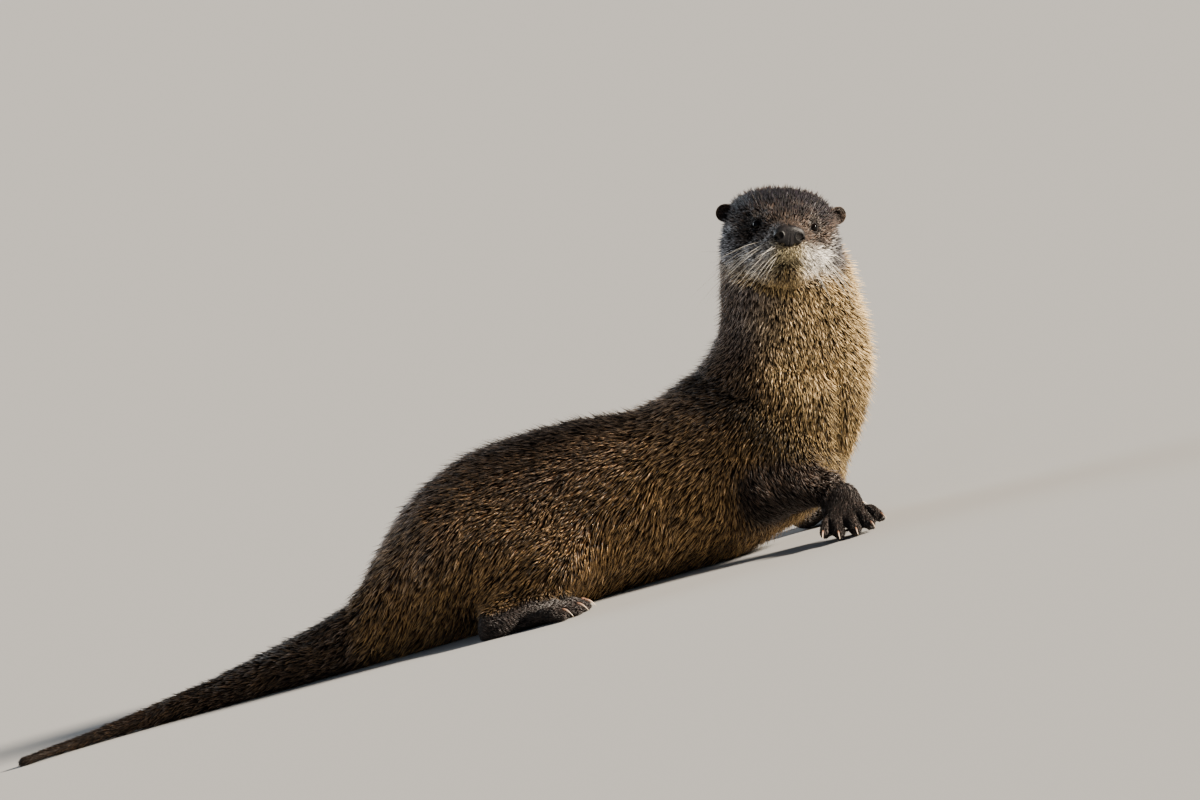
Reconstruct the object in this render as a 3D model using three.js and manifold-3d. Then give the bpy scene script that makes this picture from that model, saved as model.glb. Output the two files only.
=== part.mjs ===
// North American river otter (Lontra canadensis), adult, still model at life size.
// It lies on its belly and looks round to its right over raised forequarters.
// Millimetres, +Z up, +X from the tail towards the chest, -Y on the animal's right.
// The whole body is one smooth field, parted into named solids by thin cuts.
import * as THREE from 'three';
import Module from 'manifold-3d';

const wasm = await Module();
wasm.setup();

// ---------------------------------------------------------------- driving sizes
const GAP = 0.3; // clear gap between neighbouring solids
const BLEND = { trunk: 34, neck: 15, limb: 14, thigh: 26, crease: 12, face: 9, paw: 3.5, sole: 5 };
const MESH = {
  trunk: 34, neck: 26, tail: 17, tip: 10, limb: 26, head: 11.2, foot: 12.5,
  ear: 3.2, nose: 4.8, sleeve: 28,
};

// Stations along the body: x, y, z of the middle, half width, half height.
const TRUNK = [
  [-161, 0, 51, 45, 46],
  [-126, 0, 64, 65, 62],
  [-80, 2, 75, 77, 81],
  [-30, 6, 79, 83, 83],
  [30, 8, 78, 82, 82],
  [80, 4, 76, 77, 77],
  [128, -8, 82, 73, 82],
  [164, -18, 98, 70, 80],
];
const NECK = [
  [194, -12, 93, 70, 69],
  [219, -18, 130, 72, 68],
  [233, -24, 166, 69, 62],
  [239, -30, 200, 64, 58],
  [243, -36, 232, 60, 55],
  [247, -42, 256, 55, 50],
];

// Tail: length along the curve, half width and half height at root and tip.
const TAIL = {
  root: [-152, 0, 36],
  length: 388,
  heading: 181,
  bend: [-10, 26],
  width: [38, 7],
  height: [35, 5.5],
  taper: 1.5,
  sections: 8,
  joints: [0.15, 0.42, 0.7],
};

// Head: middle point between the ears, and how the face is turned, in degrees.
const HEAD = { at: [253.5, -55, 285], yaw: 3.8, pitch: 1.7, roll: 19 };
// Ovals of the head in its own frame: forward, left, up, then their half sizes.
const SKULL = {
  cranium: [-8, 0, -11, 52, 49, 33.5],
  cheek: [10, 22, -27, 38, 30, 27],
  forehead: [40, 0, -12, 34, 27, 21],
  muzzle: [67.5, 0, -19, 25, 17.5, 13.5],
  whiskerPad: [65, 16, -28, 21, 18.5, 14],
  chin: [60, 0, -47, 18, 16, 12.5],
  throat: [28, 0, -46, 38, 30, 18],
};
const NOSE = { at: [85.5, 0, -16], half: [7, 14.3, 9.2] };
const EYE = { at: [40.5, 23.8, -7.5], radius: 5.6 };
const EAR = { at: [-2, 50.5, 0], height: 18, width: 16, depth: 10, wall: 2.4, outwards: 38 };

// Limbs: shoulder or hip, elbow or knee, wrist or ankle, each with its half sizes.
const FORELEG = {
  right: [
    [186, -34, 100, 34, 34],
    [174, -62, 61, 29, 26],
    [204, -80, 51, 22, 20],
    [233, -97, 41, 17, 18],
  ],
  left: [
    [190, 30, 84, 32, 34],
    [142, 58, 44, 26, 24],
    [166, 62, 32, 18, 18],
    [194, 60, 25, 15, 15],
  ],
};
// Paws: palm's middle, heading, pitch and spread in degrees, and the box that parts the paw,
// as how far it reaches back, forwards, right, left and up.
const FOREPAW = {
  right: {
    at: [234, -113, 20.8],
    heading: -84,
    pitch: -24,
    spread: 46,
    box: [14, 66, 46, 46, 40],
  },
  left: { at: [208, 58, 11], heading: 6, pitch: -5, spread: 46, box: [20, 66, 32, 46, 16] },
};
const HINDLEG = {
  right: [
    [-112, -44, 80, 42, 40],
    [-72, -60, 62, 40, 36],
    [-30, -74, 40, 28, 26],
    [-58, -84, 27, 18, 18],
    [-96, -90, 20, 14, 15],
  ],
  left: [
    [-108, 46, 80, 42, 40],
    [-66, 64, 60, 40, 36],
    [-22, 78, 38, 27, 26],
    [-52, 88, 26, 18, 18],
    [-90, 95, 19, 14, 15],
  ],
};
const HINDPAW = {
  right: { at: [-72, -96, 9.5], heading: -8, pitch: 0, spread: 44, box: [58, 84, 46, 38, 12.5] },
  left: { at: [-60, 101, 9.5], heading: 11, pitch: 0, spread: 48, box: [58, 84, 38, 46, 12.5] },
};
// Palm half sizes, digit lengths and thickness.
const FORE_SIZES = { palm: [21, 25, 12.5], digit: [29, 36, 39, 36, 28], thick: 6.4 };
const HIND_SIZES = { palm: [36, 23, 11], digit: [42, 52, 56, 52, 41], thick: 6.6 };
const CLAW = { length: 10, root: 2.2, drop: 5 };

const LOOKS = {
  coat: { color: 0x4b382a, roughness: 0.62, metalness: 0 },
  throat: { color: 0x8d7a62, roughness: 0.66, metalness: 0 },
  paw: { color: 0x2c221c, roughness: 0.55, metalness: 0 },
  nose: { color: 0x1d1a1a, roughness: 0.38, metalness: 0 },
  eye: { color: 0x0b0706, roughness: 0.04, metalness: 0 },
};

// ---------------------------------------------------------------- vectors
const RAD = Math.PI / 180;
const dot = (a, b) => a[0] * b[0] + a[1] * b[1] + a[2] * b[2];
const add = (a, b, k = 1) => [a[0] + b[0] * k, a[1] + b[1] * k, a[2] + b[2] * k];
const sub = (a, b) => add(a, b, -1);
const scale = (a, k) => [a[0] * k, a[1] * k, a[2] * k];
const unit = (a) => scale(a, 1 / Math.hypot(...a));
const cross = (a, b) => [
  a[1] * b[2] - a[2] * b[1],
  a[2] * b[0] - a[0] * b[2],
  a[0] * b[1] - a[1] * b[0],
];
const turn = (degrees) => [Math.cos(degrees * RAD), Math.sin(degrees * RAD), 0];

// Right-handed frame of three axes about a forward direction, with left as near as it can be.
function frame(origin, forward, left) {
  const f = unit(forward);
  const l = unit(add(left, f, -dot(left, f)));
  const u = cross(f, l);
  const place = ([a, b, c]) => add(add(add(origin, f, a), l, b), u, c);
  return { origin, f, l, u, place };
}

const head = frame(
  HEAD.at,
  [Math.sin(HEAD.yaw * RAD), -Math.cos(HEAD.yaw * RAD), Math.sin(HEAD.pitch * RAD)],
  [Math.cos(HEAD.roll * RAD), 0, -Math.sin(HEAD.roll * RAD)],
);

// ---------------------------------------------------------------- fields
// A field is { at(x, y, z) -> signed distance, box } with its own bounding box.
const boxOf = (points, margin) => {
  const low = [0, 1, 2].map((i) => Math.min(...points.map((p) => p[i] - margin(p))));
  const high = [0, 1, 2].map((i) => Math.max(...points.map((p) => p[i] + margin(p))));
  return { low, high };
};

const smoothMin = (a, b, width) => {
  const h = Math.max(width - Math.abs(a - b), 0) / width;
  return Math.min(a, b) - (h * h * width) / 4;
};

const boxDistance = ({ low, high }, x, y, z) => {
  const dx = Math.max(low[0] - x, 0, x - high[0]);
  const dy = Math.max(low[1] - y, 0, y - high[1]);
  const dz = Math.max(low[2] - z, 0, z - high[2]);
  return Math.hypot(dx, dy, dz);
};

// Oval in a frame, from its middle and half sizes along forward, left and up.
function oval(axes, [a, b, c, ra, rb, rc]) {
  const middle = axes.place([a, b, c]);
  const at = (x, y, z) => {
    const d = [x - middle[0], y - middle[1], z - middle[2]];
    const reach = Math.hypot(...d);
    const q = Math.hypot(dot(d, axes.f) / ra, dot(d, axes.l) / rb, dot(d, axes.u) / rc);
    return q < 1e-6 ? -Math.min(ra, rb, rc) : reach - reach / q;
  };
  return { at, box: boxOf([middle], () => Math.max(ra, rb, rc)) };
}

// Point on a smooth curve through four neighbouring rows of numbers.
const smoothRow = (a, b, c, d, t) =>
  b.map((_, i) => {
    const slope = (c[i] - a[i]) / 2;
    const next = (d[i] - b[i]) / 2;
    const rise = c[i] - b[i];
    const cubic = slope + next - 2 * rise;
    return b[i] + t * (slope + t * (3 * rise - 2 * slope - next + t * cubic));
  });

function smoothRows(rows, steps) {
  const last = rows.length - 1;
  const out = [];
  for (let i = 0; i < last; i += 1) {
    const a = rows[Math.max(i - 1, 0)];
    const d = rows[Math.min(i + 2, last)];
    for (let k = 0; k < steps; k += 1) {
      out.push(smoothRow(a, rows[i], rows[i + 1], d, k / steps));
    }
  }
  out.push(rows[last]);
  return out;
}

// Oval section swept along stations, with its width across the side direction.
function sweep(stations, side, steps = 4) {
  const rows = smoothRows(stations, steps);
  const spans = rows.slice(1).map((end, i) => {
    const start = rows[i];
    const along = sub(end, start);
    const t = unit(along);
    const s = unit(add(side, t, -dot(side, t)));
    return { start, end, along, t, s, u: cross(t, s), square: dot(along, along) };
  });
  const at = (x, y, z) => {
    let best = Infinity;
    for (const { start, end, along, t, s, u, square } of spans) {
      const p = [x - start[0], y - start[1], z - start[2]];
      const k = Math.min(Math.max(dot(p, along) / square, 0), 1);
      const d = add(p, along, -k);
      const w = start[3] + (end[3] - start[3]) * k;
      const h = start[4] + (end[4] - start[4]) * k;
      const reach = Math.hypot(...d);
      const q = Math.hypot(dot(d, s) / w, dot(d, u) / h, (2 * dot(d, t)) / (w + h));
      best = Math.min(best, q < 1e-6 ? -Math.min(w, h) : reach - reach / q);
    }
    return best;
  };
  return { at, box: boxOf(rows, (row) => Math.max(row[3], row[4])) };
}

const joinBoxes = (boxes) => ({
  low: [0, 1, 2].map((i) => Math.min(...boxes.map((b) => b.low[i]))),
  high: [0, 1, 2].map((i) => Math.max(...boxes.map((b) => b.high[i]))),
});

// Smooth union. Members further away than the blend are passed over.
function join(fields, width) {
  const at = (x, y, z) => {
    let value = Infinity;
    for (const field of fields) {
      const far = boxDistance(field.box, x, y, z);
      if (far > value + width) continue;
      value = smoothMin(value, field.at(x, y, z), width);
    }
    return value;
  };
  return { at, box: joinBoxes(fields.map((f) => f.box)) };
}

const grown = (field, by) => ({
  at: (x, y, z) => field.at(x, y, z) - by,
  box: {
    low: field.box.low.map((v) => v - by),
    high: field.box.high.map((v) => v + by),
  },
});

// ---------------------------------------------------------------- surface of a field
const CORNERS = [0, 1, 2, 3, 4, 5, 6, 7].map((i) => [i & 1, (i >> 1) & 1, i >> 2]);
const EDGES = [];
for (let a = 0; a < 8; a += 1) {
  for (const bit of [1, 2, 4]) {
    if (!(a & bit)) EDGES.push([a, a | bit]);
  }
}

// Each face of a cell as four corners in order round it.
const FACES = [0, 1, 2].flatMap((axis) => {
  const [u, v] = [1 << ((axis + 1) % 3), 1 << ((axis + 2) % 3)];
  return [0, 1 << axis].map((base) => [base, base | u, base | u | v, base | v]);
});
const edgeNumber = (a, b) =>
  EDGES.findIndex(([p, q]) => (p === a && q === b) || (p === b && q === a));
const FACE_EDGES = FACES.map((f) => f.map((c, i) => edgeNumber(c, f[(i + 1) % 4])));

// Groups the crossed edges of a cell into the separate patches of surface in it.
function patches(corner) {
  const group = EDGES.map(([a, b], i) => (corner[a] < 0 === corner[b] < 0 ? -1 : i));
  const link = (a, b) => {
    const [from, to] = [group[a], group[b]];
    for (let i = 0; i < 12; i += 1) if (group[i] === from) group[i] = to;
  };
  FACE_EDGES.forEach((edges, f) => {
    const crossed = edges.filter((e) => group[e] >= 0);
    if (crossed.length === 2) link(crossed[0], crossed[1]);
    if (crossed.length < 4) return;
    FACES[f].forEach((c, i) => {
      if (corner[c] < 0) link(edges[i], edges[(i + 3) % 4]);
    });
  });
  return group;
}

// One vertex for each patch of surface in a grid cell, joined into quads.
function surface(field, step, box = field.box) {
  const low = box.low.map((v) => v - step * 1.5);
  const count = box.high.map((v, i) => Math.ceil((v + step * 1.5 - low[i]) / step) + 1);
  const id = (i, j, k) => i + count[0] * (j + count[1] * k);
  const rim = (i, n) => i === 0 || i === n - 1;
  const values = new Float64Array(count[0] * count[1] * count[2]);
  for (let k = 0; k < count[2]; k += 1) {
    for (let j = 0; j < count[1]; j += 1) {
      for (let i = 0; i < count[0]; i += 1) {
        const value = field.at(low[0] + i * step, low[1] + j * step, low[2] + k * step);
        const outer = rim(i, count[0]) || rim(j, count[1]) || rim(k, count[2]);
        values[id(i, j, k)] = outer ? Math.max(value, 0.5 * step) : value || 1e-9;
      }
    }
  }
  const points = [];
  const vertex = new Map();
  for (let k = 0; k < count[2] - 1; k += 1) {
    for (let j = 0; j < count[1] - 1; j += 1) {
      for (let i = 0; i < count[0] - 1; i += 1) {
        const corner = CORNERS.map((c) => values[id(i + c[0], j + c[1], k + c[2])]);
        const inner = corner.filter((v) => v < 0).length;
        if (inner === 0 || inner === 8) continue;
        const group = patches(corner);
        for (const patch of new Set(group.filter((g) => g >= 0))) {
          const crossings = [];
          EDGES.forEach(([a, b], e) => {
            if (group[e] !== patch) return;
            const t = corner[a] / (corner[a] - corner[b]);
            crossings.push(CORNERS[a].map((v, n) => v + (CORNERS[b][n] - v) * t));
            vertex.set(id(i, j, k) * 12 + e, points.length);
          });
          const total = crossings.reduce((sum, c) => add(sum, c), [0, 0, 0]);
          const mean = scale(total, 1 / crossings.length);
          points.push([i, j, k].map((v, n) => low[n] + (v + mean[n]) * step));
        }
      }
    }
  }
  const triangles = [];
  const quad = (corners, flip) => {
    const [p, q, r, s] = corners;
    const [A, B, C, D] = corners.map((n) => points[n]);
    const short = Math.hypot(...sub(A, C)) <= Math.hypot(...sub(B, D));
    const pair = short ? [[p, q, r], [p, r, s]] : [[p, q, s], [q, r, s]];
    for (const t of pair) triangles.push(flip ? [t[0], t[2], t[1]] : t);
  };
  const unitStep = [1, count[0], count[0] * count[1]];
  for (let k = 0; k < count[2] - 1; k += 1) {
    for (let j = 0; j < count[1] - 1; j += 1) {
      for (let i = 0; i < count[0] - 1; i += 1) {
        const here = id(i, j, k);
        const inside = values[here] < 0;
        for (let axis = 0; axis < 3; axis += 1) {
          if (inside === values[here + unitStep[axis]] < 0) continue;
          // The four cells round this grid edge, and where the edge lies in each.
          const [u, v] = [(axis + 1) % 3, (axis + 2) % 3];
          const corners = [[1, 1], [0, 1], [0, 0], [1, 0]].map(([du, dv]) => {
            const start = (du << u) | (dv << v);
            const edge = edgeNumber(start, start | (1 << axis));
            return vertex.get((here - du * unitStep[u] - dv * unitStep[v]) * 12 + edge);
          });
          quad(corners, !inside);
        }
      }
    }
  }
  for (const p of points) settle(field, p, step, box);
  return { points, triangles };
}

const gradient = (field, p, h = 0.2) => {
  const [x, y, z] = p;
  return [
    field.at(x + h, y, z) - field.at(x - h, y, z),
    field.at(x, y + h, z) - field.at(x, y - h, z),
    field.at(x, y, z + h) - field.at(x, y, z - h),
  ].map((v) => v / (2 * h));
};

// Moves a point onto the surface, unless it lies on the rim of the sampled box.
function settle(field, p, step, { low, high }) {
  const edge = (v, i) => v < low[i] - step * 0.4 || v > high[i] + step * 0.4;
  if (p.some(edge)) return;
  for (let round = 0; round < 3; round += 1) {
    const g = gradient(field, p);
    const square = Math.max(dot(g, g), 0.25);
    const value = field.at(...p);
    const move = Math.max(Math.min(value, step * 0.35), -step * 0.35) / square;
    for (let i = 0; i < 3; i += 1) p[i] -= g[i] * move;
  }
}

// ---------------------------------------------------------------- solids
const solid = ({ points, triangles }) =>
  new wasm.Manifold(
    new wasm.Mesh({
      numProp: 3,
      vertProperties: new Float32Array(points.flat()),
      triVerts: new Uint32Array(triangles.flat()),
    }),
  );

// Two copies of a cutter, a gap apart: one bounds the inner piece, one the outer.
function cutter(field, step, box = field.box) {
  const net = surface(field, step, box);
  const moved = (by) => ({
    points: net.points.map((p) => add(p, unit(gradient(field, p, step / 6)), by)),
    triangles: net.triangles,
  });
  return { inner: solid(moved(-GAP / 2)), outer: solid(moved(GAP)) };
}

// Slab of space on the far side of a plane.
const SPACE = 1600;
function beyond(point, normal, back = 0) {
  const slab = new THREE.BoxGeometry(SPACE, SPACE, SPACE);
  slab.translate(0, 0, SPACE / 2 + back);
  const up = new THREE.Vector3(0, 0, 1);
  const spin = new THREE.Quaternion().setFromUnitVectors(up, new THREE.Vector3(...unit(normal)));
  slab.applyQuaternion(spin);
  slab.translate(...point);
  return solid(netOf(slab));
}

// Points and triangles of a closed three.js geometry, with its shared corners merged.
function netOf(geometry) {
  const position = geometry.getAttribute('position');
  const index = geometry.index ? geometry.index.array : position.array.map((_, i) => i);
  const seen = new Map();
  const points = [];
  const number = [];
  for (let i = 0; i < position.count; i += 1) {
    const p = [position.getX(i), position.getY(i), position.getZ(i)];
    const key = p.map((v) => Math.round(v * 1e4)).join();
    if (!seen.has(key)) {
      seen.set(key, points.length);
      points.push(p);
    }
    number.push(seen.get(key));
  }
  const triangles = [];
  for (let i = 0; i < index.length; i += 3) {
    const t = [number[index[i]], number[index[i + 1]], number[index[i + 2]]];
    if (t[0] !== t[1] && t[1] !== t[2] && t[2] !== t[0]) triangles.push(t);
  }
  return { points, triangles };
}

// The two sides of a plane, a gap apart.
const parted = (shape, { point, normal }) => [
  shape.intersect(beyond(point, scale(normal, -1), GAP / 2)),
  shape.intersect(beyond(point, normal, GAP / 2)),
];

// Largest connected piece of a solid.
function largest(shape) {
  const { vertProperties, triVerts } = shape.getMesh();
  const parent = [...Array(vertProperties.length / 3).keys()];
  const find = (n) => {
    while (parent[n] !== n) {
      parent[n] = parent[parent[n]];
      n = parent[n];
    }
    return n;
  };
  for (let i = 0; i < triVerts.length; i += 3) {
    parent[find(triVerts[i])] = find(triVerts[i + 1]);
    parent[find(triVerts[i + 1])] = find(triVerts[i + 2]);
  }
  const sizes = new Map();
  for (const n of triVerts) sizes.set(find(n), (sizes.get(find(n)) || 0) + 1);
  if (sizes.size === 1) return shape;
  const [main] = [...sizes].sort((a, b) => b[1] - a[1])[0];
  const kept = [];
  for (let i = 0; i < triVerts.length; i += 3) {
    if (find(triVerts[i]) === main) kept.push(triVerts[i], triVerts[i + 1], triVerts[i + 2]);
  }
  const triangles = new Uint32Array(kept);
  return new wasm.Manifold(
    new wasm.Mesh({ numProp: 3, vertProperties, triVerts: triangles }),
  );
}

// ---------------------------------------------------------------- the animal's fields
const ACROSS = [0, 1, 0];
const ALONG = [1, 0, 0];
const UPWARDS = [0, 0, 1];
const trunkField = sweep(TRUNK, ACROSS);
const neckField = sweep(NECK, ALONG);

// Tail path: even steps along a heading that bends once each way.
function tailStations() {
  const rows = [];
  let place = TAIL.root;
  let heading = TAIL.heading;
  for (let i = 0; i <= TAIL.sections; i += 1) {
    const t = i / TAIL.sections;
    const thin = ([root, tip]) => tip + (root - tip) * (1 - t) ** TAIL.taper;
    const height = thin(TAIL.height);
    rows.push([place[0], place[1], height - 1, thin(TAIL.width), height]);
    place = add(place, turn(heading), TAIL.length / TAIL.sections);
    heading += t < 0.5 ? TAIL.bend[0] / 4 : TAIL.bend[1] / 4;
  }
  return rows;
}
const TAIL_ROWS = tailStations();
const tailField = sweep(TAIL_ROWS, ACROSS);

const twoSided = ([a, b, c, ...half]) => [
  oval(head, [a, b, c, ...half]),
  oval(head, [a, -b, c, ...half]),
];
const headField = join(
  [
    oval(head, SKULL.cranium),
    ...twoSided(SKULL.cheek),
    oval(head, SKULL.forehead),
    oval(head, SKULL.muzzle),
    ...twoSided(SKULL.whiskerPad),
    oval(head, SKULL.chin),
    oval(head, SKULL.throat),
  ],
  BLEND.face,
);

// Foot: a flat palm, and five arched digits in a fan with a claw on each.
function foot({ at, heading, pitch, spread, box }, sizes) {
  const tilt = [0, 0, Math.tan(pitch * RAD)];
  const axes = frame(at, add(turn(heading), tilt), turn(heading + 90));
  const [long, wide, deep] = sizes.palm;
  const field = oval(axes, [-long * 0.4, 0, 0, long, wide, deep]);
  const digits = sizes.digit.map((length, i) => {
    const across = (i - 2) / 2;
    const way = turn(across * spread * 0.5);
    const root = [long * 0.2, across * wide * 0.64, 0.5];
    const joint = (t, lift, share) => [
      ...axes.place(add(add(root, way, length * t), [0, 0, lift])),
      sizes.thick * share,
      sizes.thick * share * 0.92,
    ];
    return {
      rings: [joint(0, 0.5, 1), joint(0.4, 2.5, 0.9), joint(0.78, 0, 1), joint(1, -2, 0.78)],
      tip: axes.place(add(root, way, length + sizes.thick * 0.2)),
      along: add(scale(axes.f, way[0]), axes.l, way[1]),
    };
  });
  return { field, digits, axes, box };
}
const forefoot = {
  right: foot(FOREPAW.right, FORE_SIZES),
  left: foot(FOREPAW.left, FORE_SIZES),
};
const hindfoot = {
  right: foot(HINDPAW.right, HIND_SIZES),
  left: foot(HINDPAW.left, HIND_SIZES),
};
// The upper and lower halves of a folded limb meet in a soft crease.
const limb = (rows, bend) =>
  join([sweep(rows.slice(0, bend + 1), UPWARDS), sweep(rows.slice(bend), UPWARDS)], BLEND.crease);
const foreleg = { right: limb(FORELEG.right, 1), left: limb(FORELEG.left, 1) };
const hindleg = { right: limb(HINDLEG.right, 2), left: limb(HINDLEG.left, 2) };

const core = join([trunkField, neckField, tailField], BLEND.trunk);
const armed = join([core, foreleg.right, foreleg.left], BLEND.limb);
const torso = join([armed, hindleg.right, hindleg.left], BLEND.thigh);
const withHead = join([torso, headField], BLEND.neck);
const body = join(
  [withHead, forefoot.right.field, forefoot.left.field, hindfoot.right.field, hindfoot.left.field],
  BLEND.sole,
);

// ---------------------------------------------------------------- cutting into parts
const ground = beyond([0, 0, 0], [0, 0, 1]);
const region = (box, step) => solid(surface(body, step, box)).intersect(ground);
const around = (boxes, margin) => {
  const { low, high } = joinBoxes(boxes);
  return { low: low.map((v) => v - margin), high: high.map((v) => v + margin) };
};

const MIDRIFF = 16; // how far a limb's inner face stays from the body's middle plane
const MUSCLE = 5; // how much wider a limb's sleeve is than the limb
const CUTS = {
  neckBase: { point: [214, -16, 150], normal: [0.55, -0.12, 0.82] },
  headBase: { point: [248, -52, 246], normal: [0.28, -0.5, 0.82] },
  loin: { point: [110, 0, 0], normal: [1, 0, 0] },
  croup: { point: [-60, 0, 0], normal: [1, 0, 0] },
};
const tailCut = (t) => {
  const n = t * TAIL.sections;
  const i = Math.floor(n);
  const row = smoothRow(
    TAIL_ROWS[Math.max(i - 1, 0)],
    TAIL_ROWS[i],
    TAIL_ROWS[i + 1],
    TAIL_ROWS[Math.min(i + 2, TAIL.sections)],
    n - i,
  );
  const way = sub(TAIL_ROWS[i + 1], TAIL_ROWS[i]);
  return { point: row.slice(0, 3), normal: [way[0], way[1], way[2] * 0.3] };
};

// Box round a foot, in the foot's own frame, larger all round by a margin.
const UNDER = 60;
function footBox({ axes, box: [back, front, right, left, top] }, margin) {
  const size = [back + front, right + left, UNDER + top].map((v) => v + 2 * margin);
  const shape = new THREE.BoxGeometry(...size);
  shape.translate((front - back) / 2, (left - right) / 2, (top - UNDER) / 2);
  const basis = new THREE.Matrix4().makeBasis(
    ...[axes.f, axes.l, axes.u].map((v) => new THREE.Vector3(...v)),
  );
  shape.applyMatrix4(basis.setPosition(...axes.origin));
  return solid(netOf(shape));
}

const footCut = (foot) => ({ inner: footBox(foot, 0), outer: footBox(foot, GAP) });

const sides = ['right', 'left'];
const sleeve = {};
for (const side of sides) {
  sleeve[`forefoot_${side}`] = footCut(forefoot[side]);
  sleeve[`hindfoot_${side}`] = footCut(hindfoot[side]);
  sleeve[`foreleg_${side}`] = cutter(grown(foreleg[side], MUSCLE), MESH.sleeve);
  sleeve[`hindleg_${side}`] = cutter(grown(hindleg[side], MUSCLE), MESH.sleeve);
}
// The hips' inner faces stay clear of the middle of the body.
for (const side of sides) {
  const outwards = [0, side === 'left' ? 1 : -1, 0];
  for (const name of [`foreleg_${side}`, `hindleg_${side}`]) {
    const { inner, outer } = sleeve[name];
    sleeve[name] = {
      inner: inner.intersect(beyond([0, 0, 0], outwards, MIDRIFF)),
      outer: outer.intersect(beyond([0, 0, 0], outwards, MIDRIFF - GAP)),
    };
  }
}
const limbNames = Object.keys(sleeve);
const withoutLimbs = (shape) =>
  limbNames.reduce((rest, name) => rest.subtract(sleeve[name].outer), shape);

const pieces = {};

// Trunk, neck and head, from the tail root forwards.
const whole = body.box;
const trunkMesh = region({ low: [-260, whole.low[1], -30], high: whole.high }, MESH.trunk);
const [rearPart, frontPart] = parted(withoutLimbs(trunkMesh), CUTS.croup);
const [, rumpPart] = parted(rearPart, {
  point: tailCut(TAIL.joints[0]).point,
  normal: scale(tailCut(TAIL.joints[0]).normal, -1),
});
const [bellyPart, forePart] = parted(frontPart, CUTS.loin);
const [chestPart] = parted(forePart, CUTS.neckBase);
pieces.rump = rumpPart;
pieces.belly = bellyPart;
pieces.chest = chestPart;

const neckMesh = region({ low: [120, -140, 60], high: [360, 90, 340] }, MESH.neck);
const [, upperPart] = parted(withoutLimbs(neckMesh), CUTS.neckBase);
const [neckPart] = parted(upperPart, CUTS.headBase);
pieces.neck = neckPart;

const headBox = around([headField.box], 6);
headBox.low[2] = 190;
const headCut = cutter(body, MESH.head, headBox);
let headPart = parted(headCut.inner, CUTS.headBase)[1];

// Tail in three lengths, the last one on a finer net.
const tailMesh = (step) =>
  region({ low: [whole.low[0], whole.low[1], -20], high: [-130, whole.high[1], 120] }, step);
const tailBody = withoutLimbs(tailMesh(MESH.tail));
TAIL.joints.forEach((joint, i) => {
  const next = TAIL.joints[i + 1];
  const [, further] = parted(next ? tailBody : tailMesh(MESH.tip), tailCut(joint));
  pieces[`tail_${i + 1}`] = next ? parted(further, tailCut(next))[0] : further;
});

// Eyes, nose and ears.
const ball = (point, radius) => {
  const sphere = new THREE.SphereGeometry(radius, 10, 7);
  sphere.translate(...point);
  return solid(netOf(sphere));
};
const noseField = join(
  [
    oval(head, [...NOSE.at, ...NOSE.half]),
    oval(head, [NOSE.at[0] - 1, 0, NOSE.at[2] - 6, 6, 5, 5]),
  ],
  3,
);
const noseCut = cutter(noseField, MESH.nose);
headPart = headPart.subtract(noseCut.outer);
pieces.nose = noseCut.inner;

for (const side of sides) {
  const mirror = side === 'left' ? 1 : -1;
  const eyeAt = head.place([EYE.at[0], EYE.at[1] * mirror, EYE.at[2]]);
  headPart = headPart.subtract(ball(eyeAt, EYE.radius + GAP));
  pieces[`eye_${side}`] = ball(eyeAt, EYE.radius);

  // Cupped ear: an upright oval with an oval hollow in its front.
  const earAt = head.place([EAR.at[0], EAR.at[1] * mirror, EAR.at[2]]);
  const face = turn(EAR.outwards * mirror);
  const opens = add(scale(head.f, face[0]), head.l, face[1]);
  const earAxes = frame(earAt, opens, head.l);
  const half = [EAR.depth / 2, EAR.width / 2, EAR.height / 2];
  const shell = oval(earAxes, [0, 0, 0, ...half]);
  const cup = oval(earAxes, [EAR.depth * 0.5, 0, 1, half[0], half[1] - EAR.wall, half[2] - EAR.wall]);
  const earField = {
    at: (x, y, z) => Math.max(shell.at(x, y, z), -cup.at(x, y, z)),
    box: shell.box,
  };
  pieces[`ear_${side}`] = solid(surface(earField, MESH.ear));
}
// The ears end just outside the head.
for (const side of sides) pieces[`ear_${side}`] = pieces[`ear_${side}`].subtract(headCut.outer);
pieces.head = headPart;

// Tube of oval rings, closed by a point a little beyond each end.
function tube(rings, side, around) {
  const points = [];
  const triangles = [];
  rings.forEach((ring, i) => {
    const before = rings[Math.max(i - 1, 0)];
    const after = rings[Math.min(i + 1, rings.length - 1)];
    const t = unit(sub(after, before).slice(0, 3));
    const s = unit(add(side, t, -dot(side, t)));
    const u = cross(t, s);
    for (let k = 0; k < around; k += 1) {
      const [cos, sin] = turn((k / around) * 360);
      points.push(add(add(ring.slice(0, 3), s, ring[3] * cos), u, ring[4] * sin));
    }
  });
  const ends = [rings.slice(0, 2), rings.slice(-2).reverse()];
  for (const [end, next] of ends) {
    const out = unit(sub(end, next).slice(0, 3));
    points.push(add(end.slice(0, 3), out, end[3] * 0.6));
  }
  const start = points.length - 2;
  const last = (rings.length - 1) * around;
  for (let k = 0; k < around; k += 1) {
    const next = (k + 1) % around;
    triangles.push([start, next, k]);
    triangles.push([start + 1, last + k, last + next]);
    for (let row = 0; row < last; row += around) {
      triangles.push([row + k, row + next, row + around + k]);
      triangles.push([row + next, row + around + next, row + around + k]);
    }
  }
  return solid({ points, triangles });
}

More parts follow.
